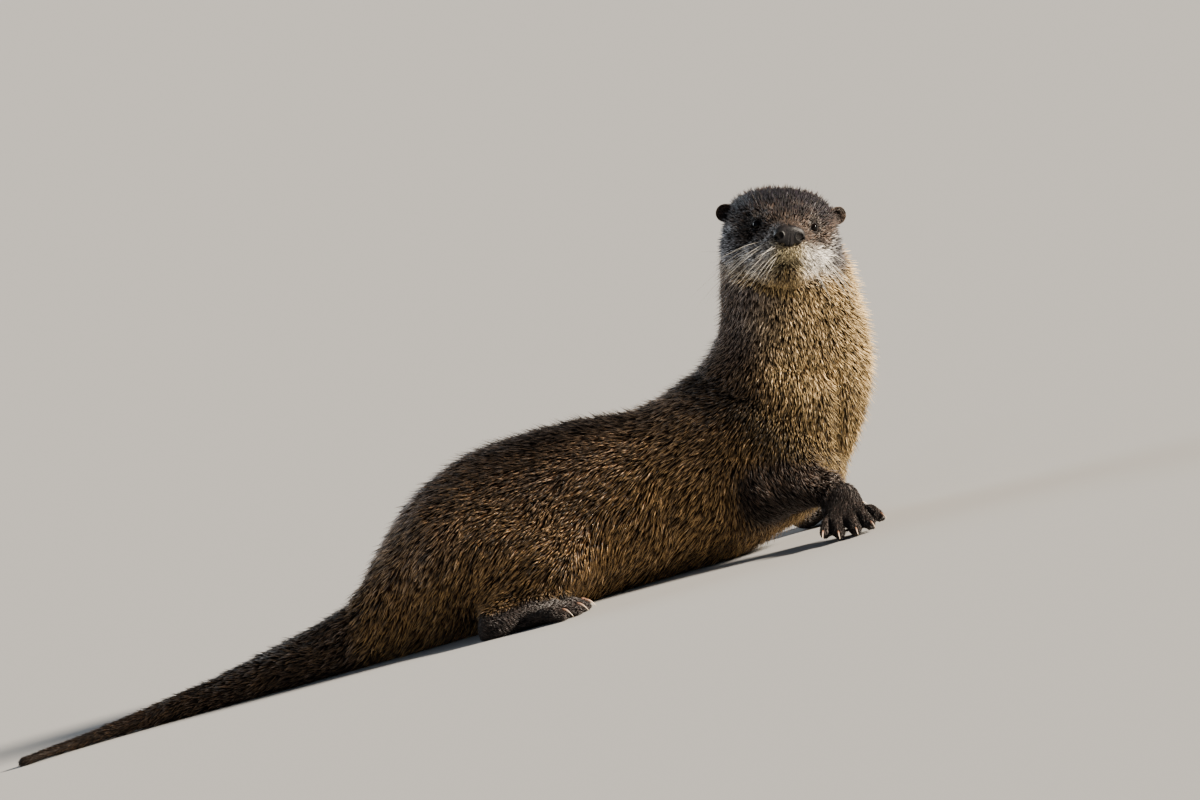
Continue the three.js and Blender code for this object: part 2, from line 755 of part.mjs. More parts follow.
// Legs, and feet with their digits and claws.
const claw = ({ tip, along }) => {
  const cone = new THREE.ConeGeometry(CLAW.root, CLAW.length, 6, 1);
  cone.translate(0, CLAW.length / 2 - 4, 0);
  const way = unit(add(along, [0, 0, -1], CLAW.drop / CLAW.length));
  const from = new THREE.Vector3(0, 1, 0);
  const spin = new THREE.Quaternion().setFromUnitVectors(from, new THREE.Vector3(...way));
  cone.applyQuaternion(spin);
  cone.translate(tip[0], tip[1], tip[2]);
  return solid(netOf(cone));
};
for (const [kind, feet, legs] of [
  ['fore', forefoot, foreleg],
  ['hind', hindfoot, hindleg],
]) {
  for (const side of sides) {
    const footName = `${kind}foot_${side}`;
    const legName = `${kind}leg_${side}`;
    const footMesh = region(around([feet[side].field.box], 4), MESH.foot);
    let footPart = footMesh.intersect(sleeve[footName].inner);
    for (const digit of feet[side].digits) {
      footPart = footPart.add(tube(digit.rings, feet[side].axes.l, 6)).add(claw(digit));
    }
    pieces[footName] = footPart.intersect(ground);
    const legMesh = region(around([legs[side].box], 6), MESH.limb);
    pieces[legName] = legMesh.intersect(sleeve[legName].inner).subtract(sleeve[footName].outer);
  }
}

// ---------------------------------------------------------------- scene graph
const lookOf = (name) => {
  if (name.startsWith('eye')) return LOOKS.eye;
  if (name === 'nose') return LOOKS.nose;
  if (name.includes('foot')) return LOOKS.paw;
  if (name === 'neck' || name === 'chest') return LOOKS.throat;
  return LOOKS.coat;
};

function meshOf(name, shape) {
  const { vertProperties, triVerts } = largest(shape).getMesh();
  const geometry = new THREE.BufferGeometry();
  geometry.setAttribute('position', new THREE.BufferAttribute(vertProperties, 3));
  geometry.setIndex(new THREE.BufferAttribute(triVerts, 1));
  geometry.computeVertexNormals();
  const mesh = new THREE.Mesh(geometry, new THREE.MeshStandardMaterial(lookOf(name)));
  mesh.name = name;
  return mesh;
}

const otter = new THREE.Group();
otter.name = 'otter';
for (const [name, shape] of Object.entries(pieces)) otter.add(meshOf(name, shape));

// The origin is the middle of the bounding box's bottom.
const bounds = new THREE.Box3().setFromObject(otter);
const centre = bounds.getCenter(new THREE.Vector3());
otter.position.set(-centre.x, -centre.y, -bounds.min.z);

export default otter;
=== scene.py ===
# North American river otter, life size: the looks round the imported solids.
# Metres, +Z up, +X from the tail towards the chest, -Y on the otter's right.
# One skin stands for all the flesh. The coat is mesh tufts that follow its lie.
import math

import bmesh
import bpy
import numpy as np
from mathutils import Matrix, Vector
from mathutils.bvhtree import BVHTree


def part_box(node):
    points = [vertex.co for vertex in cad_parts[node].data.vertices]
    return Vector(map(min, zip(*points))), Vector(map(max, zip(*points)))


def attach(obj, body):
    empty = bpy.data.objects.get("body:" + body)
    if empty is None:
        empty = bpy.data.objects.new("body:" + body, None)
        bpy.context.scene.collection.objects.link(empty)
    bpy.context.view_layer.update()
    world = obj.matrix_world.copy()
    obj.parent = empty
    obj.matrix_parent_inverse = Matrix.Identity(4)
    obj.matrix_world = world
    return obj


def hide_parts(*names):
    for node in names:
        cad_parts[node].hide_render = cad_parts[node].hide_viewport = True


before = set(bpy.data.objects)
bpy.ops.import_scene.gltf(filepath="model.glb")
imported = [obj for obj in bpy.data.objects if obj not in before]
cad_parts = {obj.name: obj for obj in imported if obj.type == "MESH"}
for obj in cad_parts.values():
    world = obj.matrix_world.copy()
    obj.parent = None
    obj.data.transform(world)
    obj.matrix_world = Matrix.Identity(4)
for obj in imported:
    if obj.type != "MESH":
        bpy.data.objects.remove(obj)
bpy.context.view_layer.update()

MM = 0.001
rng = np.random.default_rng(20)

# ---- driving sizes, mm
VOXEL = 2.7
# Smoothing of the remeshed flesh: rounds, how far each goes, and how far the tail is let
# back out, so that it keeps its girth.
SMOOTHING = {"rounds": 46, "step": 0.55, "tail_back": 0.56}
# How many times values are averaged with their neighbours'.
ROUNDS = {"rough_regions": 10, "regions": 14, "lie": 30, "tuft_sizes": 40}
# Heights over the floor that a piece's points don't go under.
LOWEST = {"skin": 0.5, "tuft": 0.35, "claw": 0.1, "whisker": 1.0}
# Places in the head's frame are forward, out to the side, up.
EYE_AT = np.array([40.5, 24.3, -7.5])
HEAD_SHIFT = np.array([0, 1.1, 0.3])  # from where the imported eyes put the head
HEAD_TURN = {"yaw": 3.8, "pitch": 1.7}  # degrees
EYE = {"radius": 5.5, "sunk": 0.7, "lid": 0.7, "opening": 47.0, "outwards": 36.0, "up": 4.0}
SOCKET = {"radius": 30.0, "from_eye": 4.3}  # shallow dish that the eye lies in
EAR = {"at": (-3.0, 50.0, 3.2), "wide": 8.4, "high": 8.2, "pricked": 0.9, "outwards": 32.0}
NOSE = {"at": np.array([85.0, 0.0, -13.4]), "half": np.array([5.8, 13.2, 9.0])}
NOSTRIL = {"at": (90.2, 9.0, -15.2), "half": (6.0, 2.9, 3.1)}
NOSE_SLIT = {"at": (87.5, 12.3, -17.4), "half": (5.0, 3.2, 1.2)}

# Ovals of the bare head: middle, then half sizes.
SKULL = [
    (-8, 0, -10, 49, 46.5, 33),
    (-8, 19, -4, 40, 26, 22),
    (10, 22, -27, 34, 29.5, 25),
    (28, 0, -11, 30, 31.5, 19.8),
    (61, 0, -16, 27, 15.5, 12.2),
    (59, 9.5, -27, 24, 14, 12.5),
    (44, 18, -31, 23, 17, 12.5),
    (60, 0, -29, 25, 12, 10),
    (54, 0, -45, 17, 13.5, 10.5),
    (28, 0, -46, 35.5, 27.5, 15.5),
    (36.5, 20, 2, 11.5, 8.5, 4.6),
    (25, 28.5, -19, 14.5, 7, 7.5),
]
SKULL_BLEND = 6.5
# Furrows of the face: path out to the side and up, width, depth.
FURROWS = {
    "crease": ([(21, -11), (27, -18.5), (34.5, -28)], 1.6, 1.8),
    "mouth": ([(0, -38), (8, -38), (15, -39.5), (21, -43)], 1.5, 1.8),
    "jowl": ([(0, -61), (13, -60), (25, -56), (35, -49)], 3.4, 1.8),
    "cleft": ([(0, -25), (0, -38)], 0.9, 0.6),
}
# Lower ends of the dark crown and of the brown face: places out to the side, heights.
MASK = {
    "crown": ((0, 12, 24, 36, 50), (3, 2, 1.5, -3, 2)),
    "face": ((0, 13, 23, 33, 40, 46, 52), (-24, -22.5, -26, -25, -17, -8, 0)),
}
# Shallow folds of the body's right and front: path forwards and up, width, depth.
FOLDS = {
    "breast": ([(376, 126), (369, 99), (359, 66)], 6.5, 6.0),
    "collar": ([(336, 156), (364, 143), (381, 129)], 8.0, 2.6),
    "shoulder": ([(262, 166), (306, 132), (340, 92)], 11.0, 3.6),
    "wrist": ([(350, 46), (368, 34)], 9.0, -4.5),
}
# Painted shadow: a dark band across the shoulder's right side, where the neck's bulge shades it.
PAINTED_SHOULDER_SHADOW = [(256, 170), (270, 158), (293, 130), (314, 96), (330, 66)]
# Toes: how far back they part, and how deep the gaps between them are.
TOES = {"fore": (30, 3.0), "hind": (46, 3.8)}
DIGITS = 5
# Claws: how long, how deep their roots lie, how thick, and each foot's lift and curve.
CLAW = {"length": 9.4, "buried": 10.0, "radius": 1.25, "fore": (1.2, 4.6), "hind": (-1.2, 8.0)}
# Whiskers: rows on each lip, and how long and thick they are.
WHISKERS = {"rows": 5, "in_row": 5, "length": (24, 64), "radius": 0.18}
# Few long dark hairs over each eye and on the cheek: place, then direction.
BROW_HAIRS = [
    ((41, 19, 6), (-0.1, 0.35, 1.0)),
    ((40, 22, 5), (-0.3, 0.6, 0.9)),
    ((38, 25, 3), (-0.2, 0.9, 0.7)),
    ((24, 42, -30), (-0.2, 1.0, -0.2)),
    ((27, 41, -34), (-0.1, 1.0, -0.5)),
]

# Coat: its depth over the skin, each tuft's length, width and spacing, how far the packed
# model's flat facets are rounded off, and the share of tufts with a painted glint off wet hair.
COLUMNS = ("depth", "length", "width", "spacing", "softness", "glint_share")
COAT = {
    "head": (3.2, 5.6, 1.0, 1.2, 0.5, 0.02),
    "neck": (3.9, 9.0, 1.3, 1.62, 1, 0.15),
    "chest": (4.6, 11.0, 1.4, 1.8, 1, 0.09),
    "belly": (4.8, 14.5, 1.65, 2.2, 1, 0.13),
    "rump": (5.2, 16.0, 1.65, 2.2, 1, 0.16),
    "tail": (3.4, 13.0, 1.5, 1.9, 0.55, 0.14),
    "foreleg": (2.6, 12.0, 1.1, 1.5, 0.6, 0.22),
    "hindleg": (4.4, 13.0, 1.6, 2.1, 0.8, 0.16),
    "foot": (0.8, 5.2, 0.75, 1.35, 0.04, 0.28),
}
REGIONS = list(COAT)
# Wander of the coat's lie: how much in radians, how wide its waves are, and its seed.
SWAY = ((0.30, 26, 1), (0.26, 9, 2))
SLOTS = {"neck": "throat_coat", "chest": "throat_coat", "foot": "paw"}  # the rest are coat

# Colours of the fur's tips, linear.
FUR = {
    "back": (0.325, 0.207, 0.121),
    "flank": (0.415, 0.255, 0.112),
    "belly": (0.56, 0.35, 0.145),
    # The crown's faint blue-purple tint is a painted reflection of the sky on wet fur.
    "crown": (0.022, 0.018, 0.025),
    "face": (0.125, 0.086, 0.064),
    # The nape's pale grey is partly its own colour and partly painted sky sheen.
    "nape": (0.43, 0.36, 0.32),
    "throat": (0.98, 0.7, 0.32),
    "cheek": (0.98, 0.94, 0.87),
    "jowl": (0.23, 0.225, 0.235),
    "lip": (0.98, 0.83, 0.49),
    "chin": (0.21, 0.13, 0.045),
    "arm": (0.058, 0.041, 0.036),
    "foot": (0.036, 0.027, 0.024),
    "rim": (0.014, 0.011, 0.01),
    "ear_skin": (0.020, 0.013, 0.011),
    "ear_rim": (0.09, 0.058, 0.040),
    "ear_hair": (0.06, 0.040, 0.028),
    "ear_fringe": (0.16, 0.108, 0.072),
}
FUR = {name: np.array(colour) for name, colour in FUR.items()}

CAMERA = {"elevation": 4.5, "roll": 16.5, "distance": 12.0, "across": 1.08, "sensor": 36.0}
AIM = np.array([0.1705, 0.0204, 0.1687])  # middle of the picture, in the row frame
# Lights from one direction each: direction, power, colour, softness in degrees.
SUNS = {
    "key": ((0.95, -0.28, 0.34), 18.0, (1.0, 0.88, 0.72), 8),
    "fill": ((-0.60, -0.70, 0.55), 0.22, (0.60, 0.76, 1.0), 60),
    "back": ((-0.78, 0.60, 0.42), 1.8, (0.86, 0.93, 1.0), 30),
    "catch": ((-0.24, -1.0, 0.50), 0.18, (0.9, 0.95, 1.0), 3.2),
}
SKY = {"Color": (0.68, 0.77, 0.94, 1), "Strength": 0.10}
FLOOR = {"half": 60, "colour": (0.38, 0.376, 0.368), "roughness": 0.9}


# ---- arrays
def norm(v):
    return np.linalg.norm(v, axis=-1)


def unit(v):
    return v / np.maximum(np.linalg.norm(v, axis=-1, keepdims=True), 1e-12)


def dots(a, b):
    return np.einsum("...i,...i->...", a, b)


def ease(low, high, x):
    """Smoothly from 0 at low to 1 at high."""
    t = np.clip((x - low) / (high - low), 0, 1)
    return t * t * (3 - 2 * t)


def bell(x, width):
    return np.exp(-((x / width) ** 2))


def mix(a, b, t):
    """From a to b as t goes from 0 to 1. Rows of three are colours or places."""
    a, b, t = (np.asarray(v, dtype=float) for v in (a, b, t))
    if t.ndim and (a.shape[-1:] == (3,) or b.shape[-1:] == (3,)):
        t = t[..., None]
    return a * (1 - t) + b * t


def lattice_noise(points, size, seed):
    """Smooth noise from -1 to 1, with features about size across."""
    p = points / size + seed * 17.31
    cell = np.floor(p).astype(np.int64)
    t = p - cell
    t = t * t * (3 - 2 * t)
    total = np.zeros(len(points))
    for corner in range(8):
        step = np.array([corner & 1, corner >> 1 & 1, corner >> 2])
        key = (cell + step) @ np.array([73856093, 19349663, 83492791]) + seed * 9176
        key = (key ^ (key >> 13)) * 1274126177
        value = ((key ^ (key >> 16)) & 0xFFFF) / 32767.5 - 1
        total += value * np.prod(np.where(step, t, 1 - t), axis=1)
    return total


def crosses(points, triangles):
    """Normals of the triangles, as long as twice their areas."""
    a, b, c = (points[triangles[:, i]] for i in range(3))
    return np.cross(b - a, c - a)


def vertex_normals(points, triangles):
    face = crosses(points, triangles)
    total = np.zeros_like(points)
    for corner in range(3):
        for axis in range(3):
            total[:, axis] += np.bincount(triangles[:, corner], face[:, axis], len(points))
    return unit(total)


def averager(triangles, count):
    """Function that gives each vertex the mean of its neighbours' values."""
    edges = np.concatenate([triangles[:, [0, 1]], triangles[:, [1, 2]], triangles[:, [2, 0]]])
    edges = np.unique(np.sort(edges, axis=1), axis=0)
    start = np.concatenate([edges[:, 0], edges[:, 1]])
    end = np.concatenate([edges[:, 1], edges[:, 0]])
    share = 1 / np.maximum(np.bincount(start, minlength=count), 1)

    def average(values):
        if values.ndim == 1:
            return np.bincount(start, values[end], count) * share
        return np.stack([average(column) for column in values.T], axis=1)

    return average


def joined(parts):
    """One mesh from several, each with points, faces and a row of values."""
    starts = np.cumsum([0] + [len(p[0]) for p in parts])
    points, values = (np.concatenate([p[i] for p in parts]) for i in (0, 2))
    return points, np.concatenate([p[1] + s for p, s in zip(parts, starts)]), values


def welded(points, faces, grain):
    """Joins points that lie in one place: the kept ones' numbers, and the faces on them."""
    keys = np.round(points / grain).astype(np.int64)
    _, first, same = np.unique(keys, axis=0, return_index=True, return_inverse=True)
    return first, same.ravel()[faces]


def band_faces(rows, around):
    """Triangles between rows of points that each close on themselves."""
    faces = []
    for a in range((rows - 1) * around):
        b = a + 1 if (a + 1) % around else a + 1 - around
        faces += [(a, b, b + around), (a, b + around, a + around)]
    return faces


def capped(rings, first, last):
    """Points and triangles of a closed surface through rings, with a point at each end."""
    rows, around, _ = rings.shape
    end = rows * around
    faces = band_faces(rows, around)
    for k in range(around):
        after = (k + 1) % around
        faces += [(end, after, k), (end + 1, end - around + k, end - around + after)]
    return np.concatenate([rings.reshape(-1, 3), [first, last]]), np.array(faces)


def path_distance(flat, path):
    """Distance in a plane to a path of straight pieces."""
    best = np.full(len(flat), 1e3)
    for start, end in zip(path[:-1], path[1:]):
        start, along = np.array(start, float), np.array(end, float) - np.array(start, float)
        t = np.clip((flat - start) @ along / (along @ along), 0, 1)
        best = np.minimum(best, norm(flat - start - t[:, None] * along))
    return best


def sunk_lines(flat, lines, share):
    """Depth in mm that a table's lines sink the skin, where share is 1."""
    sunk = np.zeros(len(flat))
    for path, width, depth in lines.values():
        sunk += depth * bell(path_distance(flat, path), width) * share
    return sunk


# ---- Blender meshes
def read_mesh(mesh):
    """Points and triangles of a Blender mesh."""
    mesh.calc_loop_triangles()
    points = np.empty(len(mesh.vertices) * 3)
    mesh.vertices.foreach_get("co", points)
    triangles = np.empty(len(mesh.loop_triangles) * 3, dtype=np.int32)
    mesh.loop_triangles.foreach_get("vertices", triangles)
    return points.reshape(-1, 3), triangles.reshape(-1, 3)


def make_object(name, points, faces, uv=None, fur=None, **numbers):
    """Smooth object from arrays. Faces all have the same number of corners."""
    mesh = bpy.data.meshes.new(name)
    count, corners = faces.shape
    mesh.vertices.add(len(points))
    mesh.loops.add(count * corners)
    mesh.polygons.add(count)
    mesh.vertices.foreach_set("co", points.astype(np.float32).ravel())
    mesh.loops.foreach_set("vertex_index", faces.astype(np.int32).ravel())
    mesh.polygons.foreach_set("loop_start", np.arange(0, count * corners, corners, dtype=np.int32))
    mesh.polygons.foreach_set("use_smooth", np.ones(count, dtype=bool))
    if fur is not None:
        layer = mesh.attributes.new("fur", "FLOAT_COLOR", "POINT")
        rgba = np.concatenate([fur, np.ones((len(fur), 1))], axis=1)
        layer.data.foreach_set("color", rgba.astype(np.float32).ravel())
    for key, values in numbers.items():
        layer = mesh.attributes.new(key, "FLOAT", "POINT")
        layer.data.foreach_set("value", values.astype(np.float32))
    if uv is not None:
        layer = mesh.uv_layers.new(name="OFBake")
        layer.uv.foreach_set("vector", uv.astype(np.float32).ravel())
    mesh.update(calc_edges=True)
    made = bpy.data.objects.new(name, mesh)
    bpy.context.scene.collection.objects.link(made)
    return made


def dress(piece, material, slot, *nodes):
    """Gives a piece its material and body, and hides the CAD nodes that it stands for. The slot is not
    used.
    """
    piece.data.materials.append(material)
    if nodes:
        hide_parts(*nodes)
    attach(piece, "root")


def modified(points, triangles, kind, **settings):
    """Mesh that a modifier makes from arrays."""
    whole = make_object("whole", points, triangles)
    modifier = whole.modifiers.new("change", kind)
    for key, value in settings.items():
        setattr(modifier, key, value)
    graph = bpy.context.evaluated_depsgraph_get()
    mesh = bpy.data.meshes.new_from_object(whole.evaluated_get(graph))
    bpy.data.objects.remove(whole)
    return mesh


def refine(mesh, chosen):
    """Splits the edges whose both ends are chosen."""
    work = bmesh.new()
    work.from_mesh(mesh)
    work.verts.ensure_lookup_table()
    picked = set(np.flatnonzero(chosen).tolist())
    edges = [e for e in work.edges if e.verts[0].index in picked and e.verts[1].index in picked]
    bmesh.ops.subdivide_edges(work, edges=edges, cuts=1, use_grid_fill=True, smooth=0)
    work.to_mesh(mesh)
    work.free()


def tree_of(points, triangles):
    return BVHTree.FromPolygons(points.tolist(), triangles.tolist())


def nearest(tree, points):
    """Nearest place on a surface to each point: places and triangle numbers."""
    rows = [tree.find_nearest(p) for p in points.tolist()]
    return np.array([row[0] for row in rows]), np.array([row[2] for row in rows])


def node_arrays(names):
    """Points, triangles and node number of each triangle, for several CAD nodes together."""
    parts = [read_mesh(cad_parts[name].data) for name in names]
    return joined([(*p, np.full(len(p[1]), i)) for i, p in enumerate(parts)])


def middle(name):
    low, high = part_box(name)
    return (np.array(low) + np.array(high)) / 2


# ---- the head's own frame
def turned_head():
    """Axes forward, left, up as columns, and the origin between the ears."""
    left = unit(middle("eye_left") - middle("eye_right"))
    yaw, pitch = (math.radians(HEAD_TURN[k]) for k in ("yaw", "pitch"))
    forward = np.array([math.sin(yaw), -math.cos(yaw), math.sin(pitch)])
    forward = unit(forward - left * (forward @ left))
    axes = np.stack([forward, left, np.cross(forward, left)], axis=1)
    between = (middle("eye_left") + middle("eye_right")) / 2
    return axes, between + axes @ (HEAD_SHIFT - EYE_AT * (1, 0, 1)) * MM


HEAD_AXES, HEAD_AT = turned_head()


def to_head(points):
    """Millimetres in the head's frame."""
    return (points - HEAD_AT) @ HEAD_AXES / MM


def head_direction(local):
    return np.asarray(local, dtype=float) @ HEAD_AXES.T


def from_head(local):
    return head_direction(local) * MM + HEAD_AT


def smooth_min(a, b, width):
    h = np.maximum(width - np.abs(a - b), 0) / width
    return np.minimum(a, b) - h * h * width / 4


def smooth_max(a, b, width):
    return -smooth_min(-a, -b, width)


def oval(p, at, half):
    """Distance to an oval, about exact near its surface."""
    d = p - np.asarray(at, dtype=float)
    reach = norm(d)
    return reach - reach / np.maximum(norm(d / np.asarray(half, dtype=float)), 1e-6)


def two_sided(p):
    """The same point on the head's left half."""
    return np.stack([p[:, 0], np.abs(p[:, 1]), p[:, 2]], axis=1)


def gaze(side):
    out, up = math.radians(EYE["outwards"]), math.radians(EYE["up"])
    return np.array([math.cos(out) * math.cos(up), side * math.sin(out) * math.cos(up), math.sin(up)])


EYE_MIDDLE = EYE_AT - gaze(1) * EYE["sunk"]


def head_field(p):
    """Distance in mm to the bare head, with the lids' bulge."""
    q = two_sided(p)
    value = np.full(len(p), 1e3)
    for f, l, u, *half in SKULL:
        value = smooth_min(value, oval(q, (f, l, u), half), SKULL_BLEND)
    dish = EYE_MIDDLE + gaze(1) * (SOCKET["from_eye"] + SOCKET["radius"])
    value = smooth_max(value, SOCKET["radius"] - norm(q - dish), 3.0)
    lid = norm(q - EYE_MIDDLE) - EYE["radius"] - EYE["lid"]
    return smooth_min(value, lid, 2.0)


def onto_field(field, p, rounds=5, step=0.2, most=3.0):
    """Moves points onto a field's surface."""
    for _ in range(rounds):
        value = field(p)
        slope = [field(p + step * axis) - field(p - step * axis) for axis in np.eye(3)]
        slope = np.stack(slope, axis=1) / (2 * step)
        square = np.maximum(dots(slope, slope), 0.3)
        p = p - slope * (np.clip(value, -most, most) / square)[:, None]
    return p


# ---- claws' places
def sharp_tips(name):
    """Tips and directions of a CAD foot's claws: its only sharp corners."""
    points, triangles = read_mesh(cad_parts[name].data)
    first, triangles = welded(points, triangles, 0.01 * MM)
    points = points[first]
    turn = np.zeros(len(points))
    total = np.zeros_like(points)
    for i in range(3):
        here, a, b = (triangles[:, (i + k) % 3] for k in range(3))
        to_a, to_b = unit(points[a] - points[here]), unit(points[b] - points[here])
        np.add.at(turn, here, np.arccos(np.clip(dots(to_a, to_b), -1, 1)))
        np.add.at(total, here, to_a + to_b)
    outward = dots(unit(points - points.mean(axis=0)), unit(-total))
    order = np.argsort(turn + 10 * (outward < 0.3))[:DIGITS]
    return points[order], unit(-total[order])


FEET = [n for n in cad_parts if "foot" in n]
CLAWS = {name: sharp_tips(name) for name in FEET}


def nearest_claw(points):
    """Distance to the nearest claw's tip, and that claw's direction."""
    tips, ways = (np.concatenate([CLAWS[name][i] for name in FEET]) for i in (0, 1))
    apart = norm(points[:, None] - tips[None])
    return apart.min(axis=1), ways[apart.argmin(axis=1)]


# ---- regions
FLESH = [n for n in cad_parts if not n.startswith(("eye", "nose", "ear"))]


def part(shares, name):
    return shares[:, REGIONS.index(name)]


def coat_value(shares, column):
    """A column of the coat's table, blended by the shares of the regions."""
    return shares @ np.array([COAT[r][COLUMNS.index(column)] for r in REGIONS])


def region_shares(points, average, rounds):
    """Share of each region at each vertex, smoothed over the surface."""
    places, triangles, owner = node_arrays(FLESH)
    stems = ["foot" if "foot" in name else name.split("_")[0] for name in FLESH]
    number = np.array([REGIONS.index(stem) for stem in stems])
    _, index = nearest(tree_of(places, triangles), points)
    shares = np.eye(len(REGIONS))[number[owner[index]]]
    for _ in range(rounds):
        shares = 0.5 * shares + 0.5 * average(shares)
    return shares


def tail_thinning(points):
    """The coat grows shallower towards the tail's tip."""
    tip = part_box("tail_3")[0][0]
    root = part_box("tail_1")[1][0]
    return mix(0.30, 1.0, np.clip((points[:, 0] - tip) / (root - tip) * 1.3, 0, 1))


SIDES = ((1, "left"), (-1, "right"))


# ---- skin
def largest_part(points, triangles):
    """Only the triangles of the largest connected piece, with its own points."""
    label = np.arange(len(points))
    while True:
        low = label[triangles].min(axis=1)
        fresh = label.copy()
        for corner in range(3):
            np.minimum.at(fresh, triangles[:, corner], low)
        fresh = fresh[fresh]
        if (fresh == label).all():
            break
        label = fresh
    main = np.bincount(label[triangles[:, 0]]).argmax()
    used, flat = np.unique(triangles[label[triangles[:, 0]] == main], return_inverse=True)
    return points[used], flat.reshape(-1, 3)


def even_taper(points, share):
    """Evens out the run and the thickness of the tail along its length."""
    x = points[:, 0] / MM
    mine = points[share > 0.5] / MM
    stops = np.arange(mine[:, 0].min() + 9, mine[:, 0].max() - 4, 3.0)
    near = bell(stops[:, None] - mine[None, :, 0], 3.0)
    near /= near.sum(axis=1, keepdims=True)
    centre = near @ mine[:, 1:]
    wide = (near * norm(mine[None, :, 1:] - centre[:, None])).sum(axis=1)
    rows = (*centre.T, wide)
    now = [np.interp(x, stops, v) for v in rows]
    even = [np.polyval(np.polyfit(stops, v, 3), np.clip(x, stops[0], stops[-1])) for v in rows]
    moved = points.copy()
    for axis in (1, 2):
        off = points[:, axis] / MM - now[axis - 1]
        moved[:, axis] = (even[axis - 1] + off * even[2] / now[2]) * MM
    return mix(points, moved, share)


def flat_soles(points):
    """Heights that bring the hollow of a hind foot's sole down to the floor."""
    z = points[:, 2]
    return np.where(points[:, 0] < middle("belly")[0], z * ease(3, 15, z / MM), z)


def toe_gaps(points, shares, normals):
    """Depth in mm of the gaps between the toes, less their raised backs."""
    sunk = np.zeros(len(points))
    foot = ease(0.4, 0.9, part(shares, "foot"))
    for name in FEET:
        tips, ways = CLAWS[name]
        reach, depth = TOES[name[:4]]
        level = unit(ways * (1, 1, 0))
        away = (points[:, None, :2] - tips[None, :, :2]) / MM
        behind = -np.einsum("nki,ki->nk", away, level[:, :2])
        aside = np.abs(away[..., 0] * level[:, 1] - away[..., 1] * level[:, 0])
        far = np.hypot(aside, np.maximum(-behind, 0))
        order = np.sort(far, axis=1)
        nearest_behind = np.take_along_axis(behind, far.argmin(axis=1)[:, None], axis=1)[:, 0]
        mine = foot * (norm(away).min(axis=1) < reach + 12)
        mine = mine * ease(reach, 0.55 * reach, nearest_behind) * ease(-0.6, 0.2, normals[:, 2])
        sunk += mine * (depth * bell(order[:, 1] - order[:, 0], 2.6) - 0.9 * bell(order[:, 0], 2.8))
    return sunk


def lid_opening(p, side):
    """For points in the head's frame: angle in degrees from the middle of an eye's opening,
    less the opening's own half angle there, and the way from the eye's middle."""
    v = p - EYE_MIDDLE * (1, side, 1)
    g = gaze(side)
    across = unit(np.cross([0, 0, 1.0], g))
    angle = np.degrees(np.arccos(np.clip(dots(unit(v), g), -1, 1)))
    turn = np.arctan2(v @ np.cross(g, across), v @ across)
    return angle - (EYE["opening"] + 4.5 * np.cos(2 * turn) + 2.0 * np.sin(turn)), v


def eyelids(p):
    """Skin over an eye's opening turns in behind the eyeball and leaves a thick rim."""
    out = p.copy()
    for side, _ in SIDES:
        beyond, v = lid_opening(p, side)
        reach = norm(v)
        near = (reach < 12) & (beyond < 14)
        inside = EYE["radius"] - 1.4
        lid = EYE["radius"] + EYE["lid"] * ease(-1, 9, beyond)
        target = np.where(beyond < -5, inside, mix(inside, lid, ease(-5, 0, beyond)))
        target = mix(target, reach, ease(9, 14, beyond))
        moved = EYE_MIDDLE * (1, side, 1) + unit(v) * target[:, None]
        out = np.where(near[:, None], moved, out)
    return out


def body_skin():
    """Closed skin of the whole body, inside the flesh by the coat's depth."""
    flesh = modified(*node_arrays(FLESH)[:2], "REMESH", mode="VOXEL", voxel_size=VOXEL * MM)
    points, triangles = largest_part(*read_mesh(flesh))
    average = averager(triangles, len(points))
    shares = region_shares(points, average, ROUNDS["rough_regions"])
    thin = tail_thinning(points)
    foot, tail = part(shares, "foot"), part(shares, "tail")
    softness = coat_value(shares, "softness")
    softness += 3 * foot * (part(shares, "foreleg") + part(shares, "hindleg"))
    softness += 0.5 * foot * ease(24, 40, nearest_claw(points)[0] / MM)
    softness = np.clip(softness, 0.02, 1)
    step, tail_back = SMOOTHING["step"] * softness, SMOOTHING["tail_back"] * softness * tail
    for _ in range(SMOOTHING["rounds"]):
        points = points + (average(points) - points) * step[:, None]
        points = points - (average(points) - points) * tail_back[:, None]
    depth = coat_value(shares, "depth") * MM
    depth *= thin * mix(0.3, 1.0, ease(1, 14, points[:, 2] / MM))
    softness *= ease(0.5, 0.8, thin)
    for _ in range(3):
        points = points - vertex_normals(points, triangles) * (depth / 3)[:, None]
        points = points + (average(points) - points) * (0.5 * softness)[:, None]
    points[:, 2] = mix(points[:, 2], flat_soles(points), ease(0.4, 0.8, foot))
    points = even_taper(points, ease(0.5, 1.0, tail))
    points[:, 2] = np.maximum(points[:, 2], LOWEST["skin"] * MM)
    sunk = sunk_lines(points[:, [0, 2]] / MM, FOLDS, ease(20, -20, points[:, 1] / MM))
    return points - vertex_normals(points, triangles) * (sunk * MM)[:, None], triangles, foot


